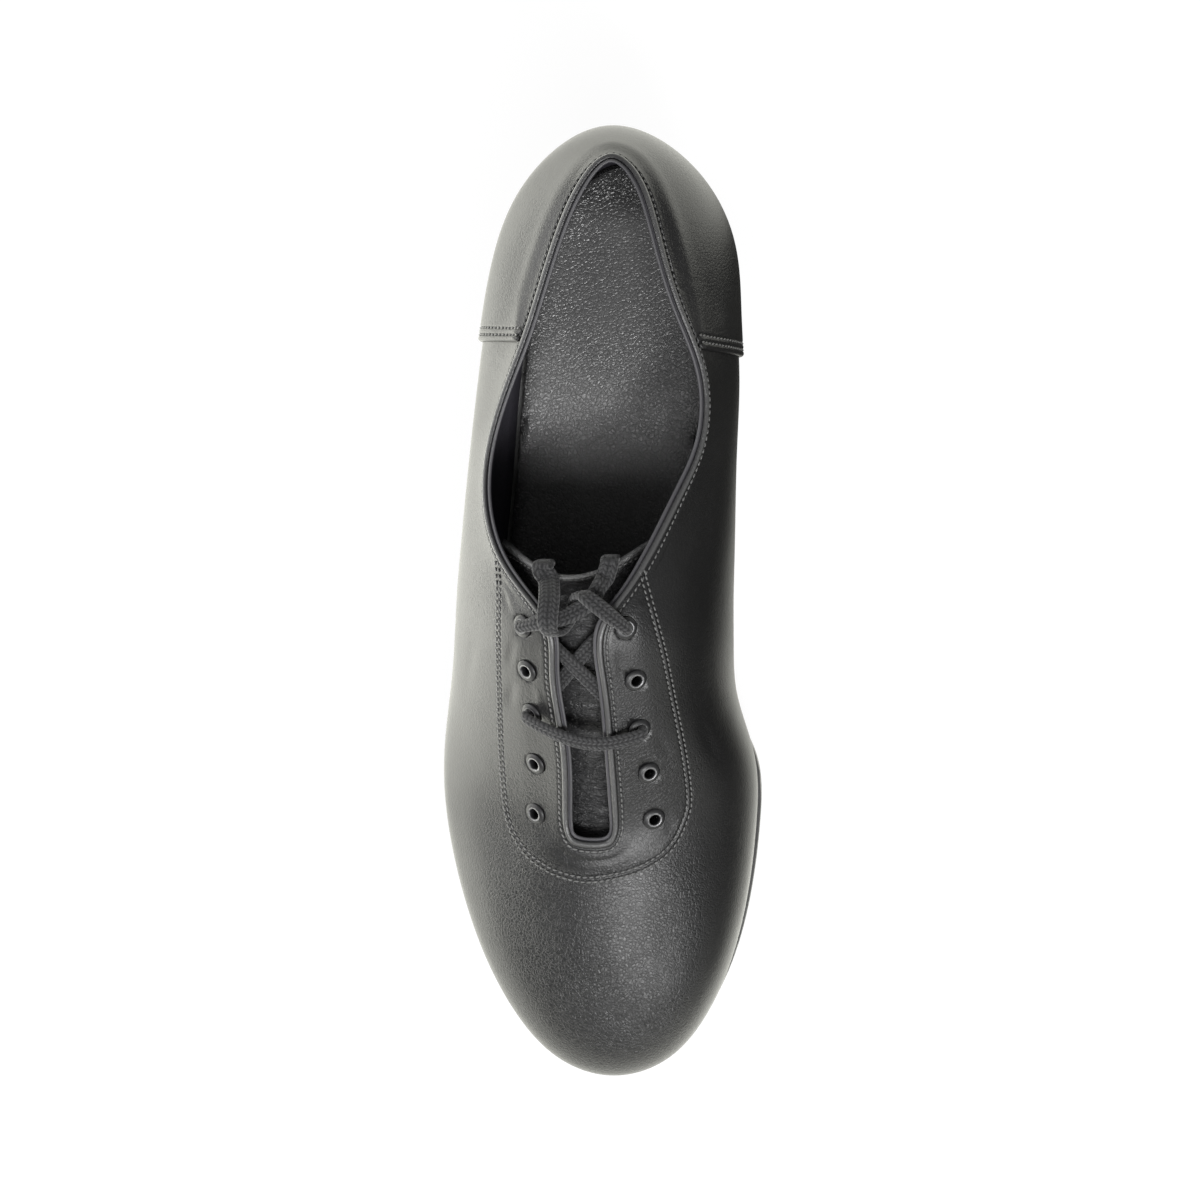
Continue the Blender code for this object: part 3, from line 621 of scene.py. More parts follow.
def draped(columns: int, rows: int, place: Surface) -> BMesh:
    """Grid laid on a surface.

    Args:
        columns: Faces across.
        rows: Faces along.
        place: Points from two fractions, across and along.

    Returns:
        The open grid.
    """
    bm = bmesh.new()
    bmesh.ops.create_grid(bm, x_segments=columns, y_segments=rows, size=0.5)
    flat = np.array([vert.co[:2] for vert in bm.verts]) + 0.5
    for vert, point in zip(bm.verts, place(flat[:, 0], flat[:, 1])):
        vert.co = point
    return bm


def join(target: BMesh, other: BMesh) -> None:
    """Put one bmesh into another and free it.

    Args:
        target: Form that grows.
        other: Form that is put in and freed.
    """
    mesh = bpy.data.meshes.new("part")
    other.to_mesh(mesh)
    other.free()
    target.from_mesh(mesh)
    bpy.data.meshes.remove(mesh)


def pillow(columns: int, rows: int, outer: Surface, inner: Surface) -> BMesh:
    """Closed form of two grids that meet on all four sides.

    Args:
        columns: Faces across.
        rows: Faces along.
        outer: Points of the outer face.
        inner: Points of the inner face.

    Returns:
        The closed form.
    """
    bm = draped(columns, rows, outer)
    back = draped(columns, rows, inner)
    bmesh.ops.reverse_faces(back, faces=back.faces)
    join(bm, back)
    rim = [vert for vert in bm.verts if vert.is_boundary]
    bmesh.ops.remove_doubles(bm, verts=rim, dist=0.004)
    return bm


def mesh_of(name: str, bm: BMesh) -> bpy.types.Mesh:
    """Smooth mesh in metres from a finished bmesh in millimetres, which is freed.

    Args:
        name: Its name.
        bm: The finished form.

    Returns:
        The mesh.
    """
    bmesh.ops.scale(bm, vec=(MM, MM, MM), verts=bm.verts)
    mesh = bpy.data.meshes.new(name)
    bm.to_mesh(mesh)
    bm.free()
    mesh.shade_smooth()
    return mesh


def piece(
    name: str, bm: BMesh, slot: Slot, nodes: tuple[str, ...], *looks: Material
) -> bpy.types.Object:
    """A finished piece that rides on the shoe.

    Args:
        name: Name of the piece.
        bm: Its finished form, in place and in millimetres, which is freed.
        slot: Material slot of the record; not used.
        nodes: Solids that it stands for.
        looks: Materials, in the order of the mesh's slots.

    Returns:
        The object.
    """
    mesh = mesh_of(name, bm)
    made = bpy.data.objects.new(name, mesh)
    bpy.context.scene.collection.objects.link(made)
    for look in looks:
        mesh.materials.append(look)
    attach(made, BODY)
    if nodes:
        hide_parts(*nodes)
    LOG.info("%s: %d faces", name, len(mesh.polygons))
    return made


class Nodes:
    """Short hand for making and joining shader nodes."""

    def __init__(self, tree: bpy.types.NodeTree) -> None:
        """Take the tree in which nodes are made."""
        self.tree = tree

    def add(self, kind: str, **inputs: object) -> bpy.types.Node:
        """New node with its inputs set or linked.

        Args:
            kind: Node type without the word ShaderNode.
            inputs: Values or sockets by input name, with _ for a space. A leading set_ names a property.

        Returns:
            The node.
        """
        node = self.tree.nodes.new(f"ShaderNode{kind}")
        for name, value in inputs.items():
            if name.startswith("set_"):
                setattr(node, name[4:], value)
        for name, value in inputs.items():
            if not name.startswith("set_"):
                self.feed(node, name.replace("_", " "), value)
        return node

    def feed(self, node: bpy.types.Node, name: str, value: object) -> None:
        """Link a socket to an input, or set its value.

        Args:
            node: The node.
            name: Name of its input, or at with the input's number.
            value: Socket or value.
        """
        key = int(name[2:]) if name.startswith("at") and name[2:].isdigit() else name
        if isinstance(value, Socket):
            self.tree.links.new(value, node.inputs[key])
        else:
            node.inputs[key].default_value = value

    def math(self, what: str, first: object, second: object = 0.0) -> Socket:
        """Result of a math node."""
        return self.add("Math", set_operation=what, at0=first, at1=second).outputs[0]

    def times(self, first: object, second: object) -> Socket:
        """Product of two values."""
        return self.math("MULTIPLY", first, second)

    def place(self) -> Socket:
        """Place on the piece, in its own frame."""
        return self.add("TexCoord").outputs["Object"]

    def attribute(self, name: str) -> Socket:
        """Value that the mesh holds at each of its points."""
        return self.add("Attribute", set_attribute_name=name).outputs["Fac"]

    def ranged(
        self, value: object, low: float, high: float, to_low: float, to_high: float
    ) -> Socket:
        """A value taken from one range to another, held at its ends."""
        node = self.add("MapRange", Value=value, From_Min=low, From_Max=high, To_Min=to_low, To_Max=to_high)
        return node.outputs[0]

    def blend(self, share: object, first: object, second: object) -> Socket:
        """Colour between two colours.

        Args:
            share: Share of the second colour.
            first: One colour.
            second: The other colour.

        Returns:
            The colour.
        """
        node = self.add("Mix", set_data_type="RGBA")
        self.feed(node, "at0", share)
        self.feed(node, "at6", first)
        self.feed(node, "at7", second)
        return node.outputs[2]


def group(
    name: str, inputs: dict[str, float | None], outputs: tuple[str, ...]
) -> tuple[Nodes, bpy.types.Node, bpy.types.Node]:
    """New shader node group.

    Args:
        name: Its name.
        inputs: Input names with default values, None for a vector.
        outputs: Names of its value outputs.

    Returns:
        Its nodes, group input and group output.
    """
    tree = bpy.data.node_groups.new(name, "ShaderNodeTree")
    for label, default in inputs.items():
        kind = "NodeSocketVector" if default is None else "NodeSocketFloat"
        socket = tree.interface.new_socket(name=label, in_out="INPUT", socket_type=kind)
        if default is not None:
            socket.default_value = default
    for label in outputs:
        tree.interface.new_socket(name=label, in_out="OUTPUT", socket_type="NodeSocketFloat")
    return Nodes(tree), tree.nodes.new("NodeGroupInput"), tree.nodes.new("NodeGroupOutput")


def make_grain() -> bpy.types.NodeTree:
    """Pebbled leather grain: small cells parted by fine creases, stronger in some places than in others.

    Returns:
        The node group.
    """
    nodes, given, out = group(
        "leather_grain", {"Vector": None, "Cells": 1000.0, "Unevenness": 0.5}, ("Height", "Crease")
    )
    vector, cells = given.outputs["Vector"], given.outputs["Cells"]
    wander = nodes.add("TexNoise", Vector=vector, Scale=nodes.times(cells, 0.7), Detail=2.0)
    shift = nodes.add("VectorMath", set_operation="SCALE", at0=wander.outputs["Color"])
    nodes.feed(shift, "Scale", 0.0009)
    moved = nodes.add("VectorMath", set_operation="ADD", at0=vector, at1=shift.outputs[0])
    fine = nodes.add("TexVoronoi", set_feature="DISTANCE_TO_EDGE", Vector=moved.outputs[0], Scale=cells)
    larger = nodes.times(cells, 0.46)
    coarse = nodes.add("TexVoronoi", set_feature="DISTANCE_TO_EDGE", Vector=moved.outputs[0], Scale=larger)
    fine_step = nodes.ranged(fine.outputs["Distance"], 0.0, 0.22, 0.0, 1.0)
    coarse_step = nodes.ranged(coarse.outputs["Distance"], 0.0, 0.12, 0.0, 1.0)
    area = nodes.add("TexNoise", Vector=vector, Scale=38.0, Detail=2.0)
    share = nodes.ranged(area.outputs["Fac"], 0.3, 0.7, 0.0, 1.0)
    strength = nodes.math("SUBTRACT", 1.0, nodes.times(share, given.outputs["Unevenness"]))
    total = nodes.math("ADD", nodes.times(fine_step, 0.6), nodes.times(coarse_step, 0.4))
    nodes.feed(out, "Height", nodes.times(total, strength))
    nodes.feed(out, "Crease", nodes.math("SUBTRACT", 1.0, total))
    return nodes.tree


def make_handling() -> bpy.types.NodeTree:
    """Marks of use: soft clouds of dulled finish and a few fine dust specks.

    Returns:
        The node group.
    """
    nodes, given, out = group("handling", {"Vector": None, "Clouds": 26.0}, ("Cloud", "Speck"))
    cloud = nodes.add("TexNoise", Vector=given.outputs["Vector"], Scale=given.outputs["Clouds"], Detail=4.0)
    speck = nodes.add("TexVoronoi", Vector=given.outputs["Vector"], Scale=95.0)
    dot = nodes.ranged(speck.outputs["Distance"], 0.0, 0.045, 1.0, 0.0)
    pick = nodes.add("SeparateColor", Color=speck.outputs["Color"])
    few = nodes.ranged(pick.outputs[0], 0.86, 0.9, 0.0, 1.0)
    nodes.feed(out, "Cloud", nodes.ranged(cloud.outputs["Fac"], 0.3, 0.7, 0.0, 1.0))
    nodes.feed(out, "Speck", nodes.times(dot, few))
    return nodes.tree


def make_crepe() -> bpy.types.NodeTree:
    """Fine crumpled wrinkles that run across the shoe.

    Returns:
        The node group.
    """
    nodes, given, out = group("crepe", {"Vector": None}, ("Height",))
    vector = given.outputs["Vector"]
    drawn = nodes.add("VectorMath", set_operation="MULTIPLY", at0=vector, at1=(0.34, 1.0, 1.0)).outputs[0]
    long = nodes.add("TexNoise", Vector=drawn, Scale=620.0, Detail=3.0, Roughness=0.6, Distortion=0.6)
    ridge = nodes.math("ABSOLUTE", nodes.math("SUBTRACT", long.outputs["Fac"], 0.5))
    sharp = nodes.ranged(ridge, 0.0, 0.16, 0.0, 1.0)
    area = nodes.add("TexNoise", Vector=vector, Scale=90.0, Detail=2.0)
    share = nodes.ranged(area.outputs["Fac"], 0.3, 0.65, 0.35, 1.0)
    nodes.feed(out, "Height", nodes.times(sharp, share))
    return nodes.tree


@dataclass(frozen=True)
class Finish:
    """A surface finish with grain, clouds of wear and gloss, with painted highlight on marked edges and
    painted shade where a mesh marks it.
    """

    name: str
    colour: tuple[float, float, float]
    worn_colour: tuple[float, float, float]
    roughness: float
    roughness_spread: float
    cells: float
    grain_depth: float
    unevenness: float = 0.5
    crease_dark: float = 0.35
    speck: float = 0.0
    coat: float = 0.0
    coat_roughness: float = 0.3
    specular: float = 0.5
    crepe_depth: float = 0.0
    # Grey that marked edges turn to, partly wear and partly painted highlight.
    edge_wear_and_highlight: float = 0.12
    fold_share: float = 0.7
    fold_gloss: float = 0.1
    crease_tone: float = 0.25
    # Darkest share of the colour under painted shade.
    painted_shade_tone: float = 0.12
    dust: tuple[float, float, float] = (0.32, 0.31, 0.29)

    def make(self) -> Material:
        """Material of the finish.

        Returns:
            The material.
        """
        made, nodes, shader = new_material(self.name)
        place = nodes.place()
        grain = nodes.add("Group", set_node_tree=bpy.data.node_groups["leather_grain"], Vector=place)
        nodes.feed(grain, "Cells", self.cells)
        nodes.feed(grain, "Unevenness", self.unevenness)
        handling = nodes.add("Group", set_node_tree=bpy.data.node_groups["handling"], Vector=place)
        cloud, speck = handling.outputs["Cloud"], handling.outputs["Speck"]
        colour = nodes.blend(cloud, (*self.colour, 1.0), (*self.worn_colour, 1.0))
        dark = nodes.times(grain.outputs["Crease"], self.crease_dark)
        colour = nodes.blend(dark, colour, tuple(self.crease_tone * c for c in self.colour) + (1.0,))
        plain = nodes.attribute("plain")
        kept = nodes.math("SUBTRACT", 1.0, plain)
        if self.speck:
            dust = nodes.times(nodes.times(speck, self.speck), kept)
            colour = nodes.blend(dust, colour, (*self.dust, 1.0))
        # Marked edges turn lighter and glossier: partly wear, partly painted highlight, and on the sole's rim
        # partly a painted reflection.
        fold = nodes.attribute("fold")
        edge_wear_and_highlight_colour = (self.edge_wear_and_highlight, self.edge_wear_and_highlight, self.edge_wear_and_highlight, 1.0)
        colour = nodes.blend(nodes.times(fold, self.fold_share), colour, edge_wear_and_highlight_colour)
        # Painted shade: the colour darkens where the mesh marks it, as on the sock's rim and heel end.
        painted_shade = nodes.attribute("painted_shade")
        colour = nodes.blend(painted_shade, colour, tuple(self.painted_shade_tone * c for c in self.colour) + (1.0,))
        nodes.feed(shader, "Base Color", colour)
        glossy, dull = self.roughness - self.roughness_spread, self.roughness + self.roughness_spread
        rough = nodes.ranged(cloud, 0.0, 1.0, glossy, dull)
        nodes.feed(shader, "Roughness", nodes.math("SUBTRACT", rough, nodes.times(fold, self.fold_gloss)))
        height = nodes.times(grain.outputs["Height"], kept)
        bump = nodes.add("Bump", Strength=1.0, Distance=self.grain_depth * MM, Height=height)
        if self.crepe_depth:
            crepe = nodes.add("Group", set_node_tree=bpy.data.node_groups["crepe"], Vector=place).outputs[0]
            folds = nodes.add("Bump", Strength=1.0, Distance=self.crepe_depth * MM, Height=crepe)
            nodes.feed(bump, "Normal", folds.outputs[0])
        nodes.feed(shader, "Normal", bump.outputs[0])
        nodes.feed(shader, "Specular IOR Level", self.specular)
        nodes.feed(shader, "Coat Weight", self.coat)
        nodes.feed(shader, "Coat Roughness", self.coat_roughness)
        return made


def new_material(name: str) -> tuple[Material, Nodes, bpy.types.Node]:
    """New node material, with its nodes and its shader.

    Args:
        name: Name of the material.

    Returns:
        The three.
    """
    made = bpy.data.materials.new(name)
    made.use_nodes = True
    return made, Nodes(made.node_tree), made.node_tree.nodes["Principled BSDF"]


@dataclass(frozen=True)
class Enamel:
    """Black enamel on metal, worn through at the rim as the wear attribute says."""

    name: str = "eyelet_black_enamel"
    paint: tuple[float, float, float] = (0.014, 0.014, 0.015)
    metal: tuple[float, float, float] = (0.24, 0.24, 0.245)

    def make(self) -> Material:
        """Material of the eyelets.

        Returns:
            The material.
        """
        made, nodes, shader = new_material(self.name)
        place = nodes.place()
        wear = nodes.attribute("wear")
        noise = nodes.add("TexNoise", Vector=place, Scale=1500.0, Detail=4.0).outputs["Fac"]
        bare = nodes.ranged(nodes.math("ADD", wear, nodes.times(noise, 0.5)), 0.95, 1.25, 0.0, 1.0)
        nodes.feed(shader, "Base Color", nodes.blend(bare, (*self.paint, 1.0), (*self.metal, 1.0)))
        nodes.feed(shader, "Metallic", nodes.times(bare, 0.9))
        nodes.feed(shader, "Roughness", nodes.ranged(noise, 0.3, 0.7, 0.34, 0.52))
        return made


@dataclass(frozen=True)
class Braid:
    """Matt braided cotton with a little fuzz, its colour painted darker between the strands as shade and
    lighter on their tops as highlight.
    """

    name: str = "lace_charcoal_braid"
    # colour is the painted shade between the strands, high the painted highlight on their tops.
    colour: tuple[float, float, float] = (0.005, 0.005, 0.0055)
    high: tuple[float, float, float] = (0.088, 0.088, 0.090)

    def make(self) -> Material:
        """Material of the lace.

        Returns:
            The material.
        """
        made, nodes, shader = new_material(self.name)
        strand = nodes.attribute("strand")
        place = nodes.place()
        fuzz = nodes.add("TexNoise", Vector=place, Scale=2600.0, Detail=3.0).outputs["Fac"]
        # Painted shade and highlight: the colour runs from dark between the strands to light on their tops.
        share = nodes.times(strand, nodes.ranged(fuzz, 0.3, 0.7, 0.45, 1.1))
        nodes.feed(shader, "Base Color", nodes.blend(share, (*self.colour, 1.0), (*self.high, 1.0)))
        nodes.feed(shader, "Roughness", nodes.ranged(fuzz, 0.2, 0.8, 0.82, 0.98))
        bump = nodes.add("Bump", Strength=1.0, Distance=0.00016, Height=fuzz)
        nodes.feed(shader, "Normal", bump.outputs[0])
        nodes.feed(shader, "Specular IOR Level", 0.2)
        nodes.feed(shader, "Sheen Weight", 0.25)
        nodes.feed(shader, "Sheen Roughness", 0.5)
        return made


@dataclass(frozen=True)
class Thread:
    """Waxed black sewing thread with its twist."""

    name: str = "thread_black"
    colour: tuple[float, float, float] = (0.085, 0.085, 0.084)

    def make(self) -> Material:
        """Material of the stitches.

        Returns:
            The material.
        """
        made, nodes, shader = new_material(self.name)
        place = nodes.place()
        noise = nodes.add("TexNoise", Vector=place, Scale=1900.0, Detail=2.0).outputs["Fac"]
        light = tuple(2.2 * c for c in self.colour) + (1.0,)
        nodes.feed(shader, "Base Color", nodes.blend(noise, (*self.colour, 1.0), light))
        nodes.feed(shader, "Roughness", nodes.ranged(noise, 0.3, 0.7, 0.34, 0.50))
        return made


UPPER_LEATHER = Finish(
    name="black_leather",
    colour=(0.008, 0.008, 0.0085),
    worn_colour=(0.012, 0.012, 0.0125),
    roughness=0.39,
    roughness_spread=0.04,
    cells=980.0,
    grain_depth=0.19,
    speck=0.25,
    coat=0.15,
)
TONGUE_LEATHER = Finish(
    name="soft_black_leather",
    colour=(0.022, 0.022, 0.023),
    worn_colour=(0.034, 0.034, 0.035),
    roughness=0.40,
    roughness_spread=0.06,
    cells=1100.0,
    grain_depth=0.08,
    coat=0.08,
    crepe_depth=0.40,
    edge_wear_and_highlight=0.24,
)
LINING = Finish(
    name="lining_black",
    colour=(0.040, 0.038, 0.048),
    worn_colour=(0.050, 0.048, 0.058),
    roughness=0.52,
    roughness_spread=0.05,
    cells=1500.0,
    grain_depth=0.04,
)
SOCK_LEATHER = Finish(
    name="sock_charcoal_leather",
    colour=(0.118, 0.118, 0.120),
    worn_colour=(0.164, 0.164, 0.163),
    roughness=0.31,
    roughness_spread=0.07,
    cells=900.0,
    grain_depth=0.21,
    speck=0.5,
    coat=0.25,
    specular=0.7,
)
SOLE_RUBBER = Finish(
    name="sole_black",
    colour=(0.034, 0.034, 0.033),
    worn_colour=(0.050, 0.050, 0.048),
    roughness=0.46,
    roughness_spread=0.08,
    cells=1700.0,
    grain_depth=0.04,
)
HEEL_BLOCK = Finish(
    name="heel_black",
    colour=(0.014, 0.014, 0.015),
    worn_colour=(0.019, 0.019, 0.019),
    roughness=0.42,
    roughness_spread=0.06,
    cells=2200.0,
    grain_depth=0.015,
)


class EyeletPlace(NamedTuple):
    """One eyelet: how far along the shoe, and how far below the throat's edge."""

    y: float
    below: float


EYELETS = {
    "eyelet_lateral_1": EyeletPlace(-5.7, 10.0),
    "eyelet_lateral_2": EyeletPlace(-18.3, 10.2),
    "eyelet_lateral_3": EyeletPlace(-30.6, 10.6),
    "eyelet_lateral_4": EyeletPlace(-45.1, 11.8),
    "eyelet_lateral_5": EyeletPlace(-59.8, 12.2),
    "eyelet_medial_1": EyeletPlace(-5.3, 7.4),
    "eyelet_medial_2": EyeletPlace(-19.9, 10.9),
    "eyelet_medial_3": EyeletPlace(-34.0, 10.2),
    "eyelet_medial_4": EyeletPlace(-46.5, 12.0),
    "eyelet_medial_5": EyeletPlace(-60.0, 12.8),
}


class RingPoint(NamedTuple):
    """One corner of an eyelet's turned profile, and how far the enamel is worn there."""

    radius: float
    height: float
    wear: float


EYELET_PROFILE = (
    RingPoint(1.50, -2.15, 0.0),
    RingPoint(1.50, 0.30, 0.0),
    RingPoint(1.56, 0.62, 0.3),
    RingPoint(1.72, 0.84, 0.9),
    RingPoint(1.98, 0.95, 1.0),
    RingPoint(2.34, 0.90, 0.6),
    RingPoint(2.74, 0.74, 0.2),
    RingPoint(3.08, 0.54, 0.25),
    RingPoint(3.30, 0.32, 0.7),
    RingPoint(3.30, 0.12, 0.2),
    RingPoint(2.25, 0.12, 0.0),
    RingPoint(2.25, -2.15, 0.0),
)


@dataclass
class Eyelets:
    """Turned eyelets in the upper."""

    last: Last
    steps: int = 40

    def __post_init__(self) -> None:
        """Work out the place of each eyelet round the shoe."""
        self.turns = {}
        for name, place in EYELETS.items():
            side = Side.LATERAL.value if Side.LATERAL.value in name else Side.MEDIAL.value
            self.turns[name] = self.last.turn_at(place.y, place.below, f"toe_side_{side}", f"throat_{side}")

    def point(self, name: str, lift: float) -> Array:
        """Point on an eyelet's axis at a height over the upper."""
        turn = np.array(self.turns[name])
        return self.last.skin(turn, self.last.climb_below(turn, EYELETS[name].below), np.array(lift))

    def matrix(self, name: str) -> Matrix:
        """Frame of an eyelet: its origin on the upper and its Z outward."""
        seat = Vector(self.point(name, 0.0))
        axis = Vector(self.point(name, 1.0)) - seat
        return Matrix.Translation(seat) @ axis.to_track_quat("Z", "Y").to_matrix().to_4x4()

    def build(self, enamel: Material) -> None:
        """Turn the profile round each eyelet's axis.

        Args:
            enamel: Material of the eyelets.
        """
        for name in EYELETS:
            bm = bmesh.new()
            wear = bm.verts.layers.float.new("wear")
            corners = []
            for radius, height, worn in EYELET_PROFILE:
                corner = bm.verts.new((radius, 0.0, height))
                corner[wear] = worn
                corners.append(corner)
            for start, end in zip(corners, corners[1:] + corners[:1]):
                bm.edges.new((start, end))
            bmesh.ops.spin(
                bm,
                geom=bm.verts[:] + bm.edges[:],
                axis=(0.0, 0.0, 1.0),
                angle=math.tau,
                steps=self.steps,
                use_merge=True,
            )
            bmesh.ops.recalc_face_normals(bm, faces=bm.faces)
            bmesh.ops.transform(bm, matrix=self.matrix(name), verts=bm.verts)
            piece(f"{name}_ring", bm, Slot.EYELET, (name,), enamel)


# Line of the eyestay's double seam in plan, from the outer collar round the toe end to the inner collar.
EYESTAY_PLAN = (
    (-23.6, 11.7),
    (-23.0, 0.5),
    (-23.6, -19.7),
    (-24.5, -43.6),
    (-23.5, -60.9),
    (-18.6, -70.4),
    (-11.6, -75.6),
    (-4.5, -78.0),
    (2.4, -78.5),
    (12.5, -76.2),
    (19.8, -72.6),
    (25.0, -67.7),
    (28.3, -60.7),
    (29.7, -53.8),
    (28.7, -41.2),
    (26.1, -24.8),
    (24.0, -11.4),
    (21.6, -1.4),
    (18.4, 10.4),
)


class Zone(Enum):
    """Parts of the upper's section, from the sole over the edge and down inside."""

    OUTER_LOW = 0
    OUTER_HIGH = 1
    SEAM = 2
    EYESTAY = 3
    EDGE = 4
    LINING_BAND = 5
    LINING_HIGH = 6
    LINING_LOW = 7


class EdgeRow(NamedTuple):
    """One row of the folded edge: distance below the edge, lift over the outer face, and how far it is
    lightened, partly as wear and partly as painted highlight.
    """

    below: float
    lift: float
    worn: float = 0.0


FOLDED_EDGE = (
    EdgeRow(5.2, 0.0),
    EdgeRow(4.3, 0.0),
    EdgeRow(3.7, 0.0),
    EdgeRow(3.3, -0.12),
    EdgeRow(2.95, -0.26),
    EdgeRow(2.6, -0.12),
    EdgeRow(2.2, -0.05),
    EdgeRow(1.95, -0.28),
    EdgeRow(1.8, 0.02),
    EdgeRow(1.6, 0.24),
    EdgeRow(1.3, 0.43, 0.5),
    EdgeRow(0.95, 0.50, 0.9),
    EdgeRow(0.55, 0.42, 1.0),
    EdgeRow(0.2, 0.18, 0.8),
    EdgeRow(-0.05, -0.2, 0.4),
    EdgeRow(-0.1, -0.55),
    EdgeRow(0.08, -0.82),
    EdgeRow(0.3, -0.98),
    EdgeRow(-0.3, -0.96, 0.2),
    EdgeRow(-0.7, -1.06, 0.6),
    EdgeRow(-0.92, -1.32, 0.7),
    EdgeRow(-0.86, -1.66, 0.4),
    EdgeRow(-0.4, -1.95),
    EdgeRow(0.9, -2.0),
)
# Rows of the folded edge from this one on are lining.
FIRST_LINING_ROW = 17
# Distances of the rows from the middle of the eyestay's seam.
SEAM_ROWS = (2.4, 1.9, 1.45, 1.1, 0.75, 0.38, 0.0, -0.38, -0.75, -1.1, -1.45, -1.9, -2.4)


@dataclass
class Upper:
    """Vamp, quarters and eyestay as one closed shell with a folded edge, lined inside."""

    last: Last
    eyelets: Eyelets
    columns: int = 560
    low_rows: int = 12
    high_rows: int = 40
    eyestay_rows: int = 16
    band_rows: int = 16
    lining_high_rows: int = 8
    lining_low_rows: int = 5
    band_depth: float = 20.0
    least_seam: float = 11.0
    seam_step: float = 0.28
    step_from: float = 1.25
    step_run: float = 0.5
    settle_from: float = 0.3
    settle_run: float = 0.6
    fade_run: float = 2.0
    row_gap: float = 0.75
    groove_depth: float = 0.26
    groove_width: float = 0.34
    eyestay_plain: float = 0.55
    pulled_plain: float = 0.6
    pulled_from: float = -74.0
    pulled_run: float = 34.0
    toe_middle: float = 2.0
    toe_from: float = 18.0
    toe_run: float = 16.0
    hole: float = 2.42
    hole_search: float = 6.0

    def __post_init__(self) -> None:
        """Lay the eyestay's seam on the upper and list the rows of the section."""
        plan = through(np.array(EYESTAY_PLAN), 10)
        turn, climb = self.last.under(plan)
        self.eyestay_seam = seam_on(self.last, turn, climb)
        below = self.last.below_of(turn, climb)
        order = np.argsort(turn)
        self.seam_turns, self.seam_below = turn[order], below[order]
        self.rows: list[tuple[Zone, float, float]] = []
        wall = -self.last.wall
        self.add_rows(Zone.OUTER_LOW, np.linspace(0.0, 1.0, self.low_rows, endpoint=False))
        self.add_rows(Zone.OUTER_HIGH, np.linspace(0.0, 1.0, self.high_rows, endpoint=False))
        self.add_rows(Zone.SEAM, SEAM_ROWS)
        self.add_rows(Zone.EYESTAY, np.linspace(0.0, 1.0, self.eyestay_rows + 1)[1:-1])
        self.first_edge = len(self.rows)
        self.rows += [(Zone.EDGE, row.below, row.lift) for row in FOLDED_EDGE]
        self.add_rows(Zone.LINING_BAND, np.linspace(1.8, self.band_depth, self.band_rows), wall)
        self.add_rows(Zone.LINING_HIGH, np.linspace(0.92, 0.0, self.lining_high_rows), wall)
        self.add_rows(Zone.LINING_LOW, np.linspace(0.8, 0.0, self.lining_low_rows), wall)

    def add_rows(self, zone: Zone, values: Iterable[float], lift: float = 0.0) -> None:
        """Add rows of one zone to the section."""
        self.rows += [(zone, value, lift) for value in values]

    def zone_of(self, row: Array) -> Array:
        """Zone numbers of rows of the section."""
        return np.array([entry[0].value for entry in self.rows])[row]

    def seam_at(self, turn: Array) -> Array:
        """Distance of the eyestay's seam below the edge, held off the edge where it runs into the collar."""
        seam = np.interp(turn, self.seam_turns, self.seam_below, left=0.0, right=0.0)
        return np.maximum(seam, self.least_seam)

    def place(self, across: Array, along: Array) -> Array:
        """Points of the section's rows round the shoe.

        Args:
            across: Shares of the way round.
            along: Shares of the way through the rows.

        Returns:
            The points.
        """
        last = self.last
        turn = (1.0 - across) * last.round
        row = np.rint(along * (len(self.rows) - 1)).astype(int)
        zone = self.zone_of(row)
        value = np.array([entry[1] for entry in self.rows])[row]
        lift = np.array([entry[2] for entry in self.rows])[row]
        seam = self.seam_at(turn)
        first_edge = FOLDED_EDGE[0].below
        seam_low, seam_high = seam + SEAM_ROWS[0], seam + SEAM_ROWS[-1]
        below = np.where(zone == Zone.SEAM.value, seam + value, value)
        below = np.where(zone == Zone.EYESTAY.value, seam_high + value * (first_edge - seam_high), below)
        climb = last.climb_below(turn, np.maximum(below, 0.0))
        low_end = last.climb_below(turn, seam_low)
        band_end = last.climb_below(turn, np.full_like(turn, self.band_depth))
        climb = np.where(zone == Zone.OUTER_HIGH.value, 1.0 + value * (low_end - 1.0), climb)
        climb = np.where(zone == Zone.LINING_HIGH.value, 1.0 + value * (band_end - 1.0), climb)
        climb = np.where((zone == Zone.OUTER_LOW.value) | (zone == Zone.LINING_LOW.value), value, climb)
        outer = zone <= Zone.EYESTAY.value
        lift = lift + np.where(outer, self.seam_lift(turn, zone, value), 0.0)
        points = last.skin(turn, climb, lift)
        extra = np.zeros(len(points))
        extra[outer] = creased(last, points[outer], UPPER_CREASES)
        points = points + extra[:, None] * last.normal(turn, climb)
        past = (zone == Zone.EDGE.value) & (value < 0.0)
        points[past] = last.edge(turn[past], value[past], lift[past])
        return points

    def seam_lift(self, turn: Array, zone: Array, value: Array) -> Array:
        """Step and stitch grooves of the eyestay's seam, faded out at its ends.

        Args:
            turn: Places round the shoe.
            zone: Zone numbers.
            value: Distances from the seam's middle, or shares of the way up the eyestay.

        Returns:
            Lift of each point.
        """
        inside = np.where(zone == Zone.SEAM.value, smooth((self.step_from - value) / self.step_run), 0.0)
        settled = smooth((value - self.settle_from) / self.settle_run)
        inside = np.where(zone == Zone.EYESTAY.value, 1.0 - settled, inside)
        on_row = sum(hump(value - at, self.groove_width) for at in (self.row_gap, -self.row_gap))
        groove = np.where(zone == Zone.SEAM.value, self.groove_depth * on_row, 0.0)
        return self.shown(turn) * (self.seam_step * inside - groove)

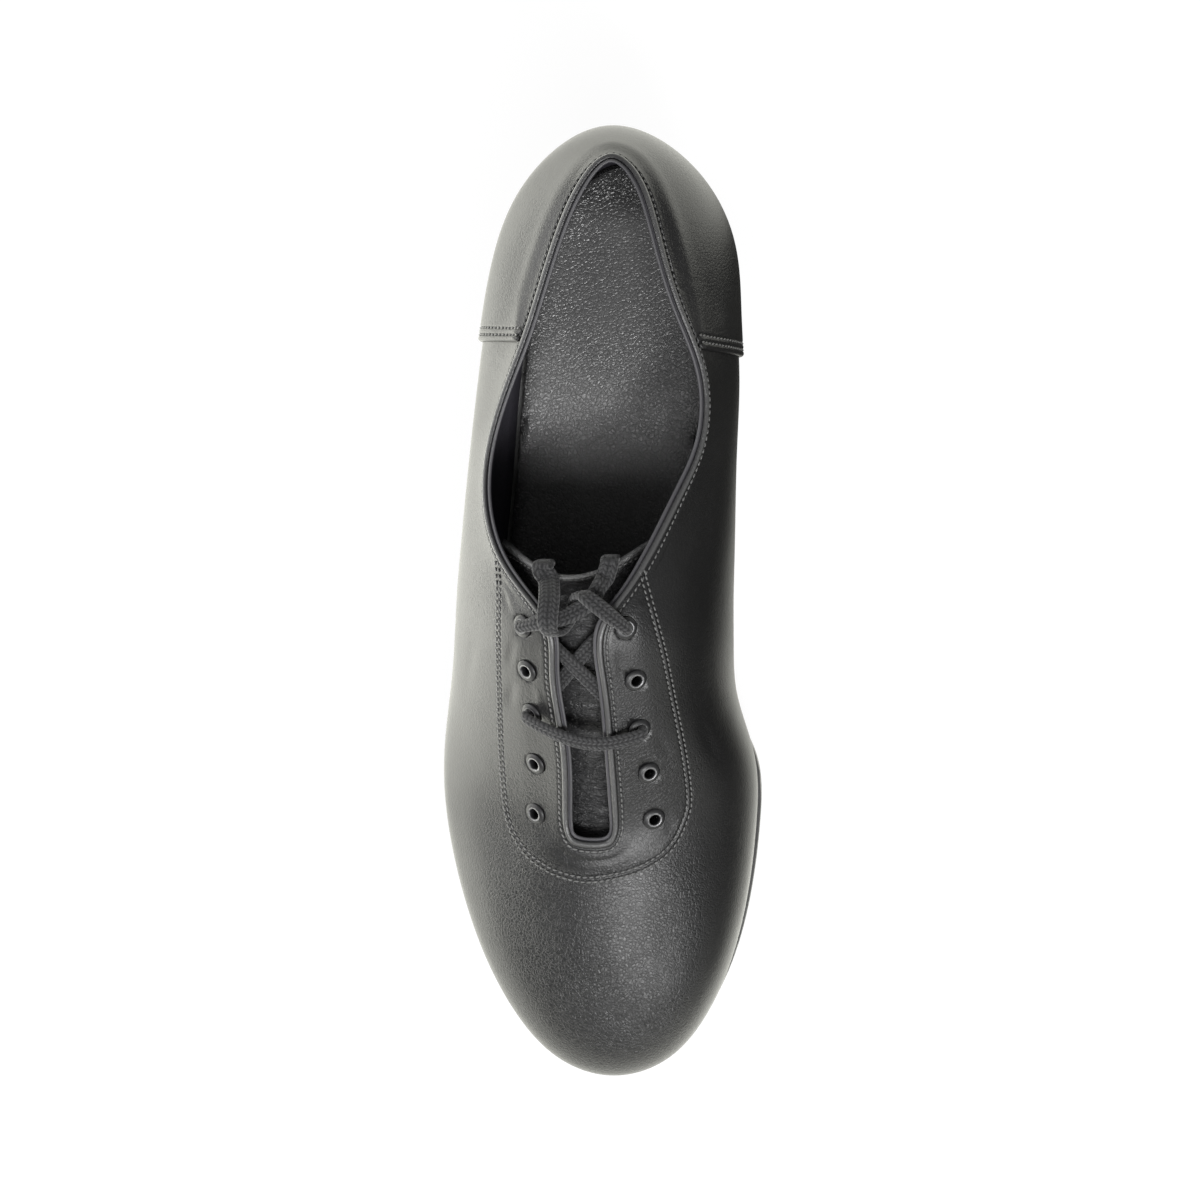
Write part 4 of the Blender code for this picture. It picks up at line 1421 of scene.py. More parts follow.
    def shown(self, turn: Array) -> Array:
        """Share of the eyestay's seam that shows, 0 where it has run into the collar."""
        true = np.interp(turn, self.seam_turns, self.seam_below, left=0.0, right=0.0)
        return smooth((true - self.least_seam + self.fade_run) / self.fade_run)

    def sewn_line(self, sideways: float) -> SeamLine:
        """Stitch row beside the eyestay's seam, following the creases.

        Args:
            sideways: Distance beside the seam.

        Returns:
            The row.
        """
        row = self.eyestay_seam.aside(sideways)
        lift = creased(self.last, row.points, UPPER_CREASES)
        return SeamLine(row.points + lift[:, None] * row.normals, row.normals)

    def plainness(self, across: Array, row: Array) -> Array:
        """How far the grain is pressed smooth: on the eyestay, cut from a smoother hide.

        Args:
            across: Shares of the way round.
            row: Rows of the section.

        Returns:
            Shares, 0 where the grain is full.
        """
        zone = self.zone_of(row)
        eyestay = (zone == Zone.EYESTAY.value) | (zone == Zone.EDGE.value)
        return np.where(eyestay, self.eyestay_plain * self.shown((1.0 - across) * self.last.round), 0.0)

    def pulled_flat(self, point: Vector) -> float:
        """How far lasting has pulled the grain flat: along the quarters and down the sides of the toe.

        Args:
            point: Point on the upper.

        Returns:
            Share, 0 where the grain is full.
        """
        along = (point.y - self.pulled_from) / self.pulled_run
        aside = (abs(point.x - self.toe_middle) - self.toe_from) / self.toe_run
        return self.pulled_plain * min(1.0, max(0.0, along, aside))

    def punch(self, bm: BMesh) -> None:
        """Punch the eyelet holes through both faces and line them.

        Args:
            bm: The closed shell.
        """
        for name in EYELETS:
            turned = self.eyelets.matrix(name)
            inward = turned.inverted()
            seat = turned.translation
            near = [vert for vert in bm.verts if (vert.co - seat).length < self.hole_search]
            local = {vert: inward @ vert.co for vert in near}
            gone = [vert for vert, at in local.items() if at.xy.length < self.hole]
            bmesh.ops.delete(bm, geom=gone, context="VERTS")
            rims = [edge for edge in bm.edges if edge.is_boundary]
            rim = [edge for edge in rims if all(vert in local for vert in edge.verts)]
            for vert in {vert for edge in rim for vert in edge.verts}:
                at = local[vert]
                flat = at.xy.normalized() * self.hole
                vert.co = turned @ Vector((flat.x, flat.y, at.z))
            bmesh.ops.bridge_loops(bm, edges=rim)

    def build(self, leather: Material, lining: Material) -> bpy.types.Object:
        """Make the shell, close it under the foot and punch the eyelets' holes.

        Args:
            leather: Material outside.
            lining: Material inside.

        Returns:
            The piece.
        """
        count = len(self.rows) - 1
        bm = bmesh.new()
        bmesh.ops.create_grid(bm, x_segments=self.columns, y_segments=count, size=0.5)
        flat = np.array([vert.co[:2] for vert in bm.verts]) + 0.5
        row = np.rint(flat[:, 1] * count).astype(int)
        bm.verts.index_update()
        for face in bm.faces:
            inside = min(row[vert.index] for vert in face.verts) >= self.first_edge + FIRST_LINING_ROW
            face.material_index = int(inside)
        # The folded edge's rows are marked to be lightened, partly as wear and partly as painted highlight.
        fold = bm.verts.layers.float.new("fold")
        plain = bm.verts.layers.float.new("plain")
        for vert, share in zip(bm.verts, self.plainness(flat[:, 0], row)):
            vert[plain] = share
        for vert, point, at in zip(bm.verts, self.place(flat[:, 0], flat[:, 1]), row - self.first_edge):
            vert.co = point
            vert[plain] = max(vert[plain], self.pulled_flat(vert.co))
            vert[fold] = FOLDED_EDGE[at].worn if 0 <= at < len(FOLDED_EDGE) else 0.0
        side = [vert for vert in bm.verts if vert.is_boundary and 0 < row[vert.index] < count]
        ends = [vert for vert in bm.verts if row[vert.index] in (0, count)]
        bmesh.ops.remove_doubles(bm, verts=side + ends, dist=0.002)
        rims = [edge for edge in bm.edges if edge.is_boundary]
        bmesh.ops.bridge_loops(bm, edges=rims)
        self.punch(bm)
        bmesh.ops.recalc_face_normals(bm, faces=bm.faces)
        LOG.info("upper: %d open edges", sum(edge.is_boundary for edge in bm.edges))
        return piece("upper_leather", bm, Slot.UPPER, ("upper",), leather, lining)


@dataclass
class Counter:
    """Back panel over the quarters, folded and double sewn at its front edges, thin at the collar."""

    last: Last
    seam_lateral: float = 74.7
    seam_medial: float = 73.2
    top_below: float = 2.6
    foot: float = 0.03
    thickness: float = 1.25
    seat: float = 0.06
    columns: int = 190
    rows: int = 64
    sewn: tuple[float, float] = (2.0, 4.0)
    sewn_below: float = 4.2
    sewn_foot: float = 0.35
    sewn_depth: float = 0.20
    seam_below: float = 20.0
    fold_run: float = 0.8
    foot_run: float = 0.16
    thin_run: float = 1.6
    thin_more: float = 6.0
    thin_reach: float = 14.0
    groove_depth: float = 0.34
    groove_width: float = 0.42
    plain: float = 0.6
    seam_points: int = 40

    def __post_init__(self) -> None:
        """Find the turns of the two front edges."""
        below = self.seam_below
        self.start = self.last.turn_at(self.seam_lateral, below, "flank_lateral", "heel_side_lateral")
        end = self.last.turn_at(self.seam_medial, below, "heel_side_medial", "flank_medial")
        self.end = self.last.round + end

    def turn(self, across: Array) -> Array:
        """Turns of the columns, closer together at the two front edges."""
        half = np.abs(2.0 * across - 1.0)
        spread = np.sign(2.0 * across - 1.0) * (1.0 - (1.0 - half) ** 1.7)
        return 0.5 * (self.start + self.end) - 0.5 * spread * (self.end - self.start)

    def climb(self, turn: Array, along: Array) -> Array:
        """Climbs of the rows between foot and collar."""
        return self.foot + along * (self.last.climb_below(turn, self.top_below) - self.foot)

    def outer(self, across: Array, along: Array) -> Array:
        """Outer face: thick at the sewn front edges, thin at collar and foot.

        Args:
            across: Shares of the panel's width.
            along: Shares of its height.

        Returns:
            The points.
        """
        turn = self.turn(across)
        climb = self.climb(turn, along)
        front = np.minimum(turn - self.start, self.end - turn)
        fold = np.sqrt(np.clip(1.0 - (1.0 - np.clip(front / self.fold_run, 0.0, 1.0)) ** 2, 0.0, 1.0))
        base = self.last.shell(turn, climb)
        top = self.last.shell(turn, np.full_like(turn, 2.0))
        under_top = np.linalg.norm(base - top, axis=1) - self.top_below
        reach = np.clip(front / self.thin_reach, 0.0, 1.0)
        thin = smooth(under_top / (self.thin_run + self.thin_more * reach))
        foot = smooth(along / self.foot_run)
        rows = sum(hump(front - at, self.groove_width) for at in self.sewn)
        puff = 0.10 * hump(front - 3.0, 0.7) + 0.12 * hump(front - 1.1, 0.6)
        lift = self.seat + fold * thin * foot * (self.thickness + puff - self.groove_depth * rows)
        points = self.last.skin(turn, climb, lift)
        edge = (across < 1e-6) | (across > 1.0 - 1e-6) | (along < 1e-6) | (along > 1.0 - 1e-6)
        extra = np.where(edge, 0.0, creased(self.last, points, COUNTER_CREASES))
        return points + extra[:, None] * self.last.normal(turn, climb)

    def inner(self, across: Array, along: Array) -> Array:
        """Inner face, lying on the quarters."""
        turn = self.turn(across)
        return self.last.skin(turn, self.climb(turn, along), np.full_like(turn, self.seat))

    def seams(self) -> list[SeamLine]:
        """The double stitch rows of both front edges.

        Returns:
            The rows.
        """
        found = []
        for edge, way in ((self.start, 1.0), (self.end, -1.0)):
            for at in self.sewn:
                turn = np.full(self.seam_points, edge + way * at)
                top = self.last.climb_below(turn[:1], self.sewn_below)[0]
                climb = np.linspace(top, self.sewn_foot, len(turn))
                normals = self.last.normal(turn, climb)
                lift = self.seat + self.thickness - self.sewn_depth
                points = self.last.shell(turn, climb) + lift * normals
                found.append(SeamLine(points, normals))
        return found

    def build(self, leather: Material) -> bpy.types.Object:
        """Make the panel.

        Args:
            leather: Its material.

        Returns:
            The piece.
        """
        bm = pillow(self.columns, self.rows, self.outer, self.inner)
        bmesh.ops.recalc_face_normals(bm, faces=bm.faces)
        plain = bm.verts.layers.float.new("plain")
        for vert in bm.verts:
            vert[plain] = self.plain
        return piece("counter_leather", bm, Slot.COUNTER, ("counter",), leather)


class TonguePair(NamedTuple):
    """Two facing ribs between which the tongue is slung, and how far it reaches under them."""

    lateral: str
    medial: str
    tuck: float


TONGUE_PAIRS = (
    TonguePair("toe_bend_lateral", "toe_bend_medial", 11.0),
    TonguePair("toe_side_lateral", "toe_side_medial", 14.0),
    TonguePair("ball_lateral", "ball_medial", 15.0),
    TonguePair("slot_mid_lateral", "slot_mid_medial", 15.0),
    TonguePair("slot_top_lateral", "slot_top_medial", 15.0),
    TonguePair("corner_lateral", "corner_medial", 14.0),
    TonguePair("throat_lateral", "throat_medial", 11.0),
    TonguePair("instep_lateral", "instep_medial", 8.0),
    TonguePair("waist_lateral", "waist_medial", 7.0),
)


class Wrinkle(NamedTuple):
    """One wrinkle across the tongue: place along the shoe, slant, width, depth and middle of its run."""

    y: float
    slant: float
    width: float
    depth: float
    middle: float


TONGUE_WRINKLES = (
    Wrinkle(-64.2, 0.05, 0.7, 0.22, 0.46),
    Wrinkle(-61.6, -0.06, 0.8, 0.26, 0.56),
    Wrinkle(-58.4, 0.08, 0.9, 0.30, 0.47),
    Wrinkle(-55.8, -0.04, 0.7, 0.22, 0.42),
    Wrinkle(-52.9, 0.10, 0.9, 0.34, 0.55),
    Wrinkle(-49.6, -0.08, 1.0, 0.30, 0.50),
    Wrinkle(-46.8, 0.05, 0.8, 0.28, 0.45),
    Wrinkle(-43.4, -0.06, 1.1, 0.40, 0.55),
    Wrinkle(-39.9, 0.09, 0.9, 0.28, 0.48),
    Wrinkle(-35.5, -0.07, 1.1, 0.32, 0.52),
    Wrinkle(-30.8, 0.06, 1.2, 0.30, 0.47),
    Wrinkle(-25.6, -0.08, 1.2, 0.28, 0.54),
    Wrinkle(-20.2, 0.07, 1.3, 0.30, 0.48),
    Wrinkle(-14.0, -0.06, 1.4, 0.30, 0.52),
    Wrinkle(-7.4, 0.08, 1.5, 0.28, 0.48),
    Wrinkle(-0.6, -0.05, 1.5, 0.26, 0.50),
)


@dataclass
class Tongue:
    """Sheet under the throat with a hollowed, bound top edge."""

    last: Last
    thickness: float = 1.4
    drop: float = 3.8
    reach: float = 1.15
    dip: float = 12.0
    end: float = 7.2
    crown: float = 11.0
    columns: int = 64
    rows: int = 230
    bead: float = 0.42
    bead_at: float = 0.985
    bead_run: float = 0.011
    groove: float = 0.2
    groove_at: float = 0.966
    sewn: float = 0.957
    sewn_depth: float = 0.12
    sewn_run: float = 0.005
    rim_width: float = 45.0
    rim_length: float = 95.0
    rim_run: float = 0.7
    shine_run: float = 1.1

    def middle(self, across: Array, along: Array) -> Array:
        """Points of the tongue's outer face before wrinkles and bead.

        Args:
            across: Shares of its width, from the outer side.
            along: Shares of its length, from the toe end.

        Returns:
            The points.
        """
        last = self.last
        pairs = np.arange(len(TONGUE_PAIRS))
        depth = np.full_like(along, -(last.wall + self.drop))
        tuck = np.interp(along * self.end, pairs, [pair.tuck for pair in TONGUE_PAIRS])
        ends = {}
        for side in Side:
            turns = np.array([last.turn_of(getattr(pair, side.value)) for pair in TONGUE_PAIRS])
            turn = np.interp(along * self.end, pairs, turns)
            flank = last.skin(turn, last.climb_below(turn, tuck), depth)
            edge = last.skin(turn, last.climb_below(turn, np.ones_like(turn)), depth)
            ends[side] = (flank, flank + self.reach * (edge - flank))
        point = bezier(*ends[Side.LATERAL], *reversed(ends[Side.MEDIAL]), across[:, None])
        bow = np.sin(np.pi * across) ** 2
        point[:, 1] -= self.dip * bow * np.clip(4.0 * along - 3.0, 0.0, 1.0) ** 2
        point[:, 2] += self.crown * bow * np.clip(3.0 * along - 2.0, 0.0, 1.0) ** 1.5
        return point

    def normal(self, across: Array, along: Array) -> Array:
        """Outward directions of the tongue.

        Args:
            across: Shares of its width.
            along: Shares of its length.

        Returns:
            The directions, of length one.
        """
        step = 0.004
        high, low = np.minimum(along + step, 1.0), np.maximum(along - step, 0.0)
        right, left = np.minimum(across + step, 1.0), np.maximum(across - step, 0.0)
        by_along = self.middle(across, high) - self.middle(across, low)
        by_across = self.middle(right, along) - self.middle(left, along)
        return unit(np.cross(by_across, by_along))

    def faces(self, across: Array, along: Array, outer: bool) -> Array:
        """Points of the outer or inner face, which meet at the tongue's rim.

        Args:
            across: Shares of its width.
            along: Shares of its length.
            outer: True for the outer face.

        Returns:
            The points.
        """
        across = 0.5 - 0.5 * np.cos(np.pi * np.clip(across, 0.0, 1.0)) * 0.35 + (across - 0.5) * 0.65
        from_side = np.minimum(across, 1.0 - across) * self.rim_width
        from_end = np.minimum(along, 1.0 - along) * self.rim_length
        rim = np.clip(np.minimum(from_side, from_end) / self.rim_run, 0.0, 1.0)
        full = np.sqrt(np.clip(1.0 - (1.0 - rim) ** 2, 0.0, 1.0))
        lift = np.full_like(along, -0.5 * self.thickness)
        lift += (0.5 if outer else -0.5) * self.thickness * full
        bead = self.bead * hump(along - self.bead_at, self.bead_run)
        bead -= self.groove * hump(along - self.groove_at, self.sewn_run)
        bead -= self.sewn_depth * hump(along - self.sewn, self.sewn_run)
        creases = np.zeros_like(along)
        points = self.middle(across, along)
        for y, slant, width, depth, centre in TONGUE_WRINKLES:
            wave = 0.5 * np.sin(9.0 * across + 2.0 * y)
            off = points[:, 1] - y - slant * points[:, 0] - wave
            creases -= depth * hump(off, width) * hump(across - centre, 0.30)
        lift += full * ((bead + creases) if outer else creases)
        return points + lift[:, None] * self.normal(across, along)

    def mark_edge_wear_and_highlight(self, bm: BMesh) -> None:
        """Mark the bound top edge to be lightened and glossed, partly as wear and partly as painted
        highlight.

        Args:
            bm: The closed form.
        """
        across = np.linspace(0.0, 1.0, 120)
        tree = tree_of(self.middle(across, np.full_like(across, self.bead_at)))
        fold = bm.verts.layers.float.new("fold")
        for vert in bm.verts:
            gap = tree.find(vert.co)[2]
            vert[fold] = math.exp(-((gap / self.shine_run) ** 4))

    def seam(self) -> SeamLine:
        """Stitch row below the bound top edge.

        Returns:
            The row.
        """
        across = np.linspace(0.03, 0.97, 60)
        along = np.full_like(across, self.sewn)
        normals = self.normal(across, along)
        return SeamLine(self.middle(across, along) - 0.06 * normals, normals)

    def build(self, leather: Material) -> bpy.types.Object:
        """Make the tongue.

        Args:
            leather: Its material.

        Returns:
            The piece.
        """
        bm = pillow(
            self.columns,
            self.rows,
            lambda across, along: self.faces(across, along, True),
            lambda across, along: self.faces(across, along, False),
        )
        bmesh.ops.recalc_face_normals(bm, faces=bm.faces)
        self.mark_edge_wear_and_highlight(bm)
        return piece("tongue_leather", bm, Slot.TONGUE, ("tongue",), leather)


# Points on a cut plate's rim that are closer than this are merged.
RIM_SLIVER = 0.7


def cut_plate(outline: Array, step: float) -> BMesh:
    """Flat plate of an outline, cut both ways into small faces.

    Args:
        outline: Plan points of the outline.
        step: Distance between cuts.

    Returns:
        The open plate at height 0.
    """
    bm = bmesh.new()
    bmesh.ops.create_circle(bm, cap_ends=True, segments=len(outline), radius=1.0)
    for vert, (x, y) in zip(bm.verts, outline):
        vert.co = (x, y, 0.0)
    for axis in range(2):
        low, high = outline[:, axis].min(), outline[:, axis].max()
        for place in np.arange(low + 0.6 * step, high - 0.3 * step, step):
            point, normal = Vector(), Vector()
            point[axis], normal[axis] = place, 1.0
            parts = bm.verts[:] + bm.edges[:] + bm.faces[:]
            bmesh.ops.bisect_plane(bm, geom=parts, dist=0.02, plane_co=point, plane_no=normal)
    bmesh.ops.remove_doubles(bm, verts=[vert for vert in bm.verts if vert.is_boundary], dist=RIM_SLIVER)
    return bm


def thicken(bm: BMesh, low: Height, high: Height, round_low: float, round_high: float) -> None:
    """Raise a flat plate to a closed body and round its rims.

    Args:
        bm: The flat plate.
        low: Height of the underside at a place.
        high: Height of the top at a place.
        round_low: Rounding of the lower rim.
        round_high: Rounding of the upper rim.
    """
    raised = bmesh.ops.extrude_face_region(bm, geom=bm.faces[:])["geom"]
    tops = {vert for vert in raised if isinstance(vert, bmesh.types.BMVert)}
    walls = [face for face in bm.faces if 0 < sum(vert in tops for vert in face.verts) < len(face.verts)]
    rims: dict[bool, list[bmesh.types.BMEdge]] = {True: [], False: []}
    for edge in {edge for face in walls for edge in face.edges}:
        above = sum(vert in tops for vert in edge.verts)
        if above != 1:
            rims[above == 2].append(edge)
    for vert in bm.verts:
        vert.co.z = (high if vert in tops else low)(vert.co.x, vert.co.y)
    for above, size in ((True, round_high), (False, round_low)):
        edges = [edge for edge in rims[above] if edge.is_valid]
        bmesh.ops.bevel(bm, geom=edges, offset=size, affect="EDGES", segments=3, profile=0.5, material=-1)
    bmesh.ops.recalc_face_normals(bm, faces=bm.faces)


class HeelLevel(NamedTuple):
    """One level of the heel block: share of its height, and scale of its outline there."""

    share: float
    scale: float


# A rounded foot, and a groove over the top piece.
HEEL_LEVELS = (
    HeelLevel(0.0, 0.985),
    HeelLevel(0.02, 0.997),
    HeelLevel(0.05, 1.0),
    HeelLevel(0.19, 1.0),
    HeelLevel(0.197, 0.988),
    HeelLevel(0.215, 0.988),
    HeelLevel(0.222, 1.0),
    HeelLevel(0.6, 1.0),
    HeelLevel(1.0, 1.0),
)


@dataclass
class Bottom:
    """Sole, heel and sock."""

    last: Last
    margin: float = 1.5
    points: int = 260
    sole_cut: float = 5.0
    sole_round: tuple[float, float] = (0.5, 0.7)
    # Depth of the sole's top rim band and its mark: partly edge finish, partly a painted reflection of the
    # floor.
    worn_and_reflecting_band: float = 1.0
    rim_wear_and_reflection: float = 0.8
    heel_breast: float = 66.0
    heel_setback: float = 0.8
    heel_taper: float = 0.90
    heel_points: int = 90
    sock_clearance: float = 0.45
    sock_thickness: float = 2.0
    sock_dish: float = 1.3
    sock_dish_run: float = 6.0
    sock_sink: float = 0.3
    sock_cut: float = 3.0
    sock_round: tuple[float, float] = (0.3, 0.6)
    # Painted shade on the sock: its strength, its width at the rim, and where and how fast it grows towards
    # the heel end.
    painted_shade: float = 0.85
    painted_shade_rim: float = 3.0
    painted_shade_from: float = 110.0
    painted_shade_run: float = 9.0

    def outline(self, margin: float, count: int) -> Array:
        """Plan outline of the sole line, moved out by a margin."""
        return self.last.foot_line(np.linspace(0.0, self.last.round, count, endpoint=False), margin)

    def height(self, above: float) -> Height:
        """Height over the floor at a fixed height above the sole's underside."""
        return lambda x, y: float(self.last.sole(np.float64(y))) + above

    def build_sole(self, rubber: Material) -> bpy.types.Object:
        """Close-trimmed sole with rounded edges.

        Args:
            rubber: Its material.

        Returns:
            The piece.
        """
        bm = cut_plate(self.outline(self.margin, self.points), self.sole_cut)
        thicken(bm, self.height(0.0), self.height(self.last.sole_thickness), *self.sole_round)
        # The sole's top rim is marked lighter and glossier: partly edge finish, partly a painted reflection
        # of the floor.
        rim = bm.verts.layers.float.new("fold")
        top = self.height(self.last.sole_thickness - self.worn_and_reflecting_band)
        for vert in bm.verts:
            vert[rim] = self.rim_wear_and_reflection if vert.co.z > top(vert.co.x, vert.co.y) else 0.0
        return piece("outsole_edge", bm, Slot.SOLE, ("outsole",), rubber)

    def build_sock(self, leather: Material) -> bpy.types.Object:
        """Sock on the sole, dished up a little along its rim, with painted shade darkening its rim and its
        heel end.

        Args:
            leather: Its material.

        Returns:
            The piece.
        """
        outline = self.outline(-self.last.wall - self.sock_clearance, self.points)
        tree = tree_of(outline)
        base = self.height(self.last.sole_thickness + self.last.gap)

        def top(x: float, y: float) -> float:
            """Height of the sock's top at a place."""
            rim = tree.find((x, y, 0.0))[2]
            dish = self.sock_dish * math.exp(-((rim / self.sock_dish_run) ** 2))
            return base(x, y) + self.sock_thickness + dish - self.sock_sink

        bm = cut_plate(outline, self.sock_cut)
        thicken(bm, base, top, *self.sock_round)
        # Painted shade: the sock's colour darkens near its rim and towards the heel end, where the upper's
        # walls shade it.
        painted_shade = bm.verts.layers.float.new("painted_shade")
        for vert in bm.verts:
            rim = tree.find((vert.co.x, vert.co.y, 0.0))[2]
            seat_end = max(0.0, min(1.0, (vert.co.y - self.painted_shade_from) / self.painted_shade_run))
            vert[painted_shade] = self.painted_shade * max(math.exp(-((rim / self.painted_shade_rim) ** 2)), seat_end)
        return piece("sock_leather", bm, Slot.SOCK, ("insole",), leather)

    def build_heel(self, block: Material) -> bpy.types.Object:
        """Block heel with a groove over its top piece.

        Args:
            block: Its material.

        Returns:
            The piece.
        """
        outline = self.outline(self.margin - self.heel_setback, 4 * self.points)
        behind = outline[outline[:, 1] > self.heel_breast]
        start = int(np.argmax(np.linalg.norm(np.diff(behind, axis=0), axis=1))) + 1
        ring = np.roll(behind, -start, axis=0)
        ring = ring[np.rint(np.linspace(0, len(ring) - 1, self.heel_points)).astype(int)]
        ring[[0, -1], 1] = self.heel_breast
        centre = np.array([ring[:, 0].mean(), self.heel_breast])
        bm = bmesh.new()
        bmesh.ops.create_circle(bm, cap_ends=True, segments=len(ring), radius=1.0)
        loop = list(bm.verts)
        for i, level in enumerate(HEEL_LEVELS):
            if i:
                edges = [edge for edge in bm.edges if edge.verts[0] in loop and edge.verts[1] in loop]
                made = bmesh.ops.extrude_edge_only(bm, edges=edges)["geom"]
                fresh = [vert for vert in made if isinstance(vert, bmesh.types.BMVert)]
                loop = sorted(fresh, key=lambda vert: near[vert.co.to_tuple(5)])
            scale = (self.heel_taper + (1.0 - self.heel_taper) * level.share) * level.scale
            near = {}
            for k, (vert, point) in enumerate(zip(loop, ring)):
                x, y = centre + (point - centre) * scale
                vert.co = (x, y, level.share * (float(self.last.sole(np.float64(y))) - self.last.gap))
                near[vert.co.to_tuple(5)] = k
        bmesh.ops.contextual_create(bm, geom=loop)
        bmesh.ops.recalc_face_normals(bm, faces=bm.faces)
        return piece("heel_block", bm, Slot.HEEL, ("heel",), block)


@dataclass
class Stitching:
    """Rows of thread, each stitch a small bead along its seam."""

    pitch: float = 1.85
    length: float = 1.46
    thickness: float = 0.66
    tilt: float = math.radians(9.0)

    def sew(
        self, name: str, seams: list[SeamLine], slot: Slot, thread: Material, lift: float = 0.05
    ) -> bpy.types.Object:
        """Joined mesh of all stitches of some seams.

        Args:
            name: Name of the piece.
            seams: Lines to sew.
            slot: Material slot of what is sewn.
            thread: Material of the thread.
            lift: How far a stitch's middle lies over the line.

        Returns:
            The piece.
        """
        bm = bmesh.new()
        size = Matrix.Diagonal((0.5 * self.length, 0.5 * self.thickness, 0.42 * self.thickness, 1.0))
        turned = Matrix.Rotation(self.tilt, 4, "Z")
        lying = Matrix.Rotation(math.pi / 2.0, 4, "Y")
        for seam in seams:
            for point, along, normal in zip(*seam.spaced(self.pitch)):
                side = unit(np.cross(normal, along))
                axes = np.stack([along, side, np.cross(along, side)], axis=1)
                seat = Matrix.Translation(Vector(point + lift * normal)) @ Matrix(axes.tolist()).to_4x4()
                place = seat @ turned @ size @ lying
                bmesh.ops.create_uvsphere(bm, u_segments=6, v_segments=4, radius=1.0, matrix=place)
        bmesh.ops.recalc_face_normals(bm, faces=bm.faces)
        return piece(name, bm, slot, (), thread)


class LacePoint(NamedTuple):
    """One place on a lace: the point, the way its flat face looks, and its width there."""

    x: float
    y: float
    z: float
    face_x: float
    face_y: float
    face_z: float
    width: float


KNOT_LATERAL = (
    LacePoint(-6.2, -3.8, 91.9, 0.0, -0.15, 1.0, 4.7),
    LacePoint(-0.7, -2.0, 92.0, 0.0, 0.0, 1.0, 4.7),
    LacePoint(4.4, 1.6, 91.4, 0.2, 0.0, 1.0, 4.6),
    LacePoint(7.2, 6.4, 90.0, 0.3, -0.1, 1.0, 4.8),
)
KNOT_MEDIAL = (
    LacePoint(10.2, -1.6, 93.4, 0.25, 0.0, 1.0, 4.6),
    LacePoint(5.6, 2.0, 95.0, 0.1, 0.25, 1.0, 4.6),
    LacePoint(2.2, 3.6, 92.4, -0.1, 1.0, 0.2, 4.2),
    LacePoint(0.2, 1.2, 89.2, 0.0, 0.4, -1.0, 4.2),
    LacePoint(-1.2, -2.6, 88.4, 0.0, -0.1, -1.0, 4.2),
    LacePoint(-3.6, -6.6, 89.8, 0.0, -1.0, -0.35, 4.4),
    LacePoint(-6.0, -7.0, 92.8, 0.0, -1.0, 0.4, 4.8),
    LacePoint(-6.6, -3.6, 95.2, 0.0, -0.2, 1.0, 5.8),
    LacePoint(-6.6, 2.4, 93.0, 0.0, 0.25, 1.0, 6.0),
)


class TongueCrossing(NamedTuple):
    """Where a lace end goes over the tongue's top edge, how far it drifts below, and its width."""

    across: float
    drift: float
    width: float


class Strand(NamedTuple):
    """A strand between two eyelets, and where it passes the throat's edges."""

    lateral: str
    medial: str
    lateral_y: float
    medial_y: float


CROSSING = (
    Strand("eyelet_lateral_3", "eyelet_medial_1", -22.6, -10.6),
    Strand("eyelet_lateral_1", "eyelet_medial_3", -13.8, -26.0),
)
BAR = Strand("eyelet_lateral_3", "eyelet_medial_3", -35.0, -37.0)


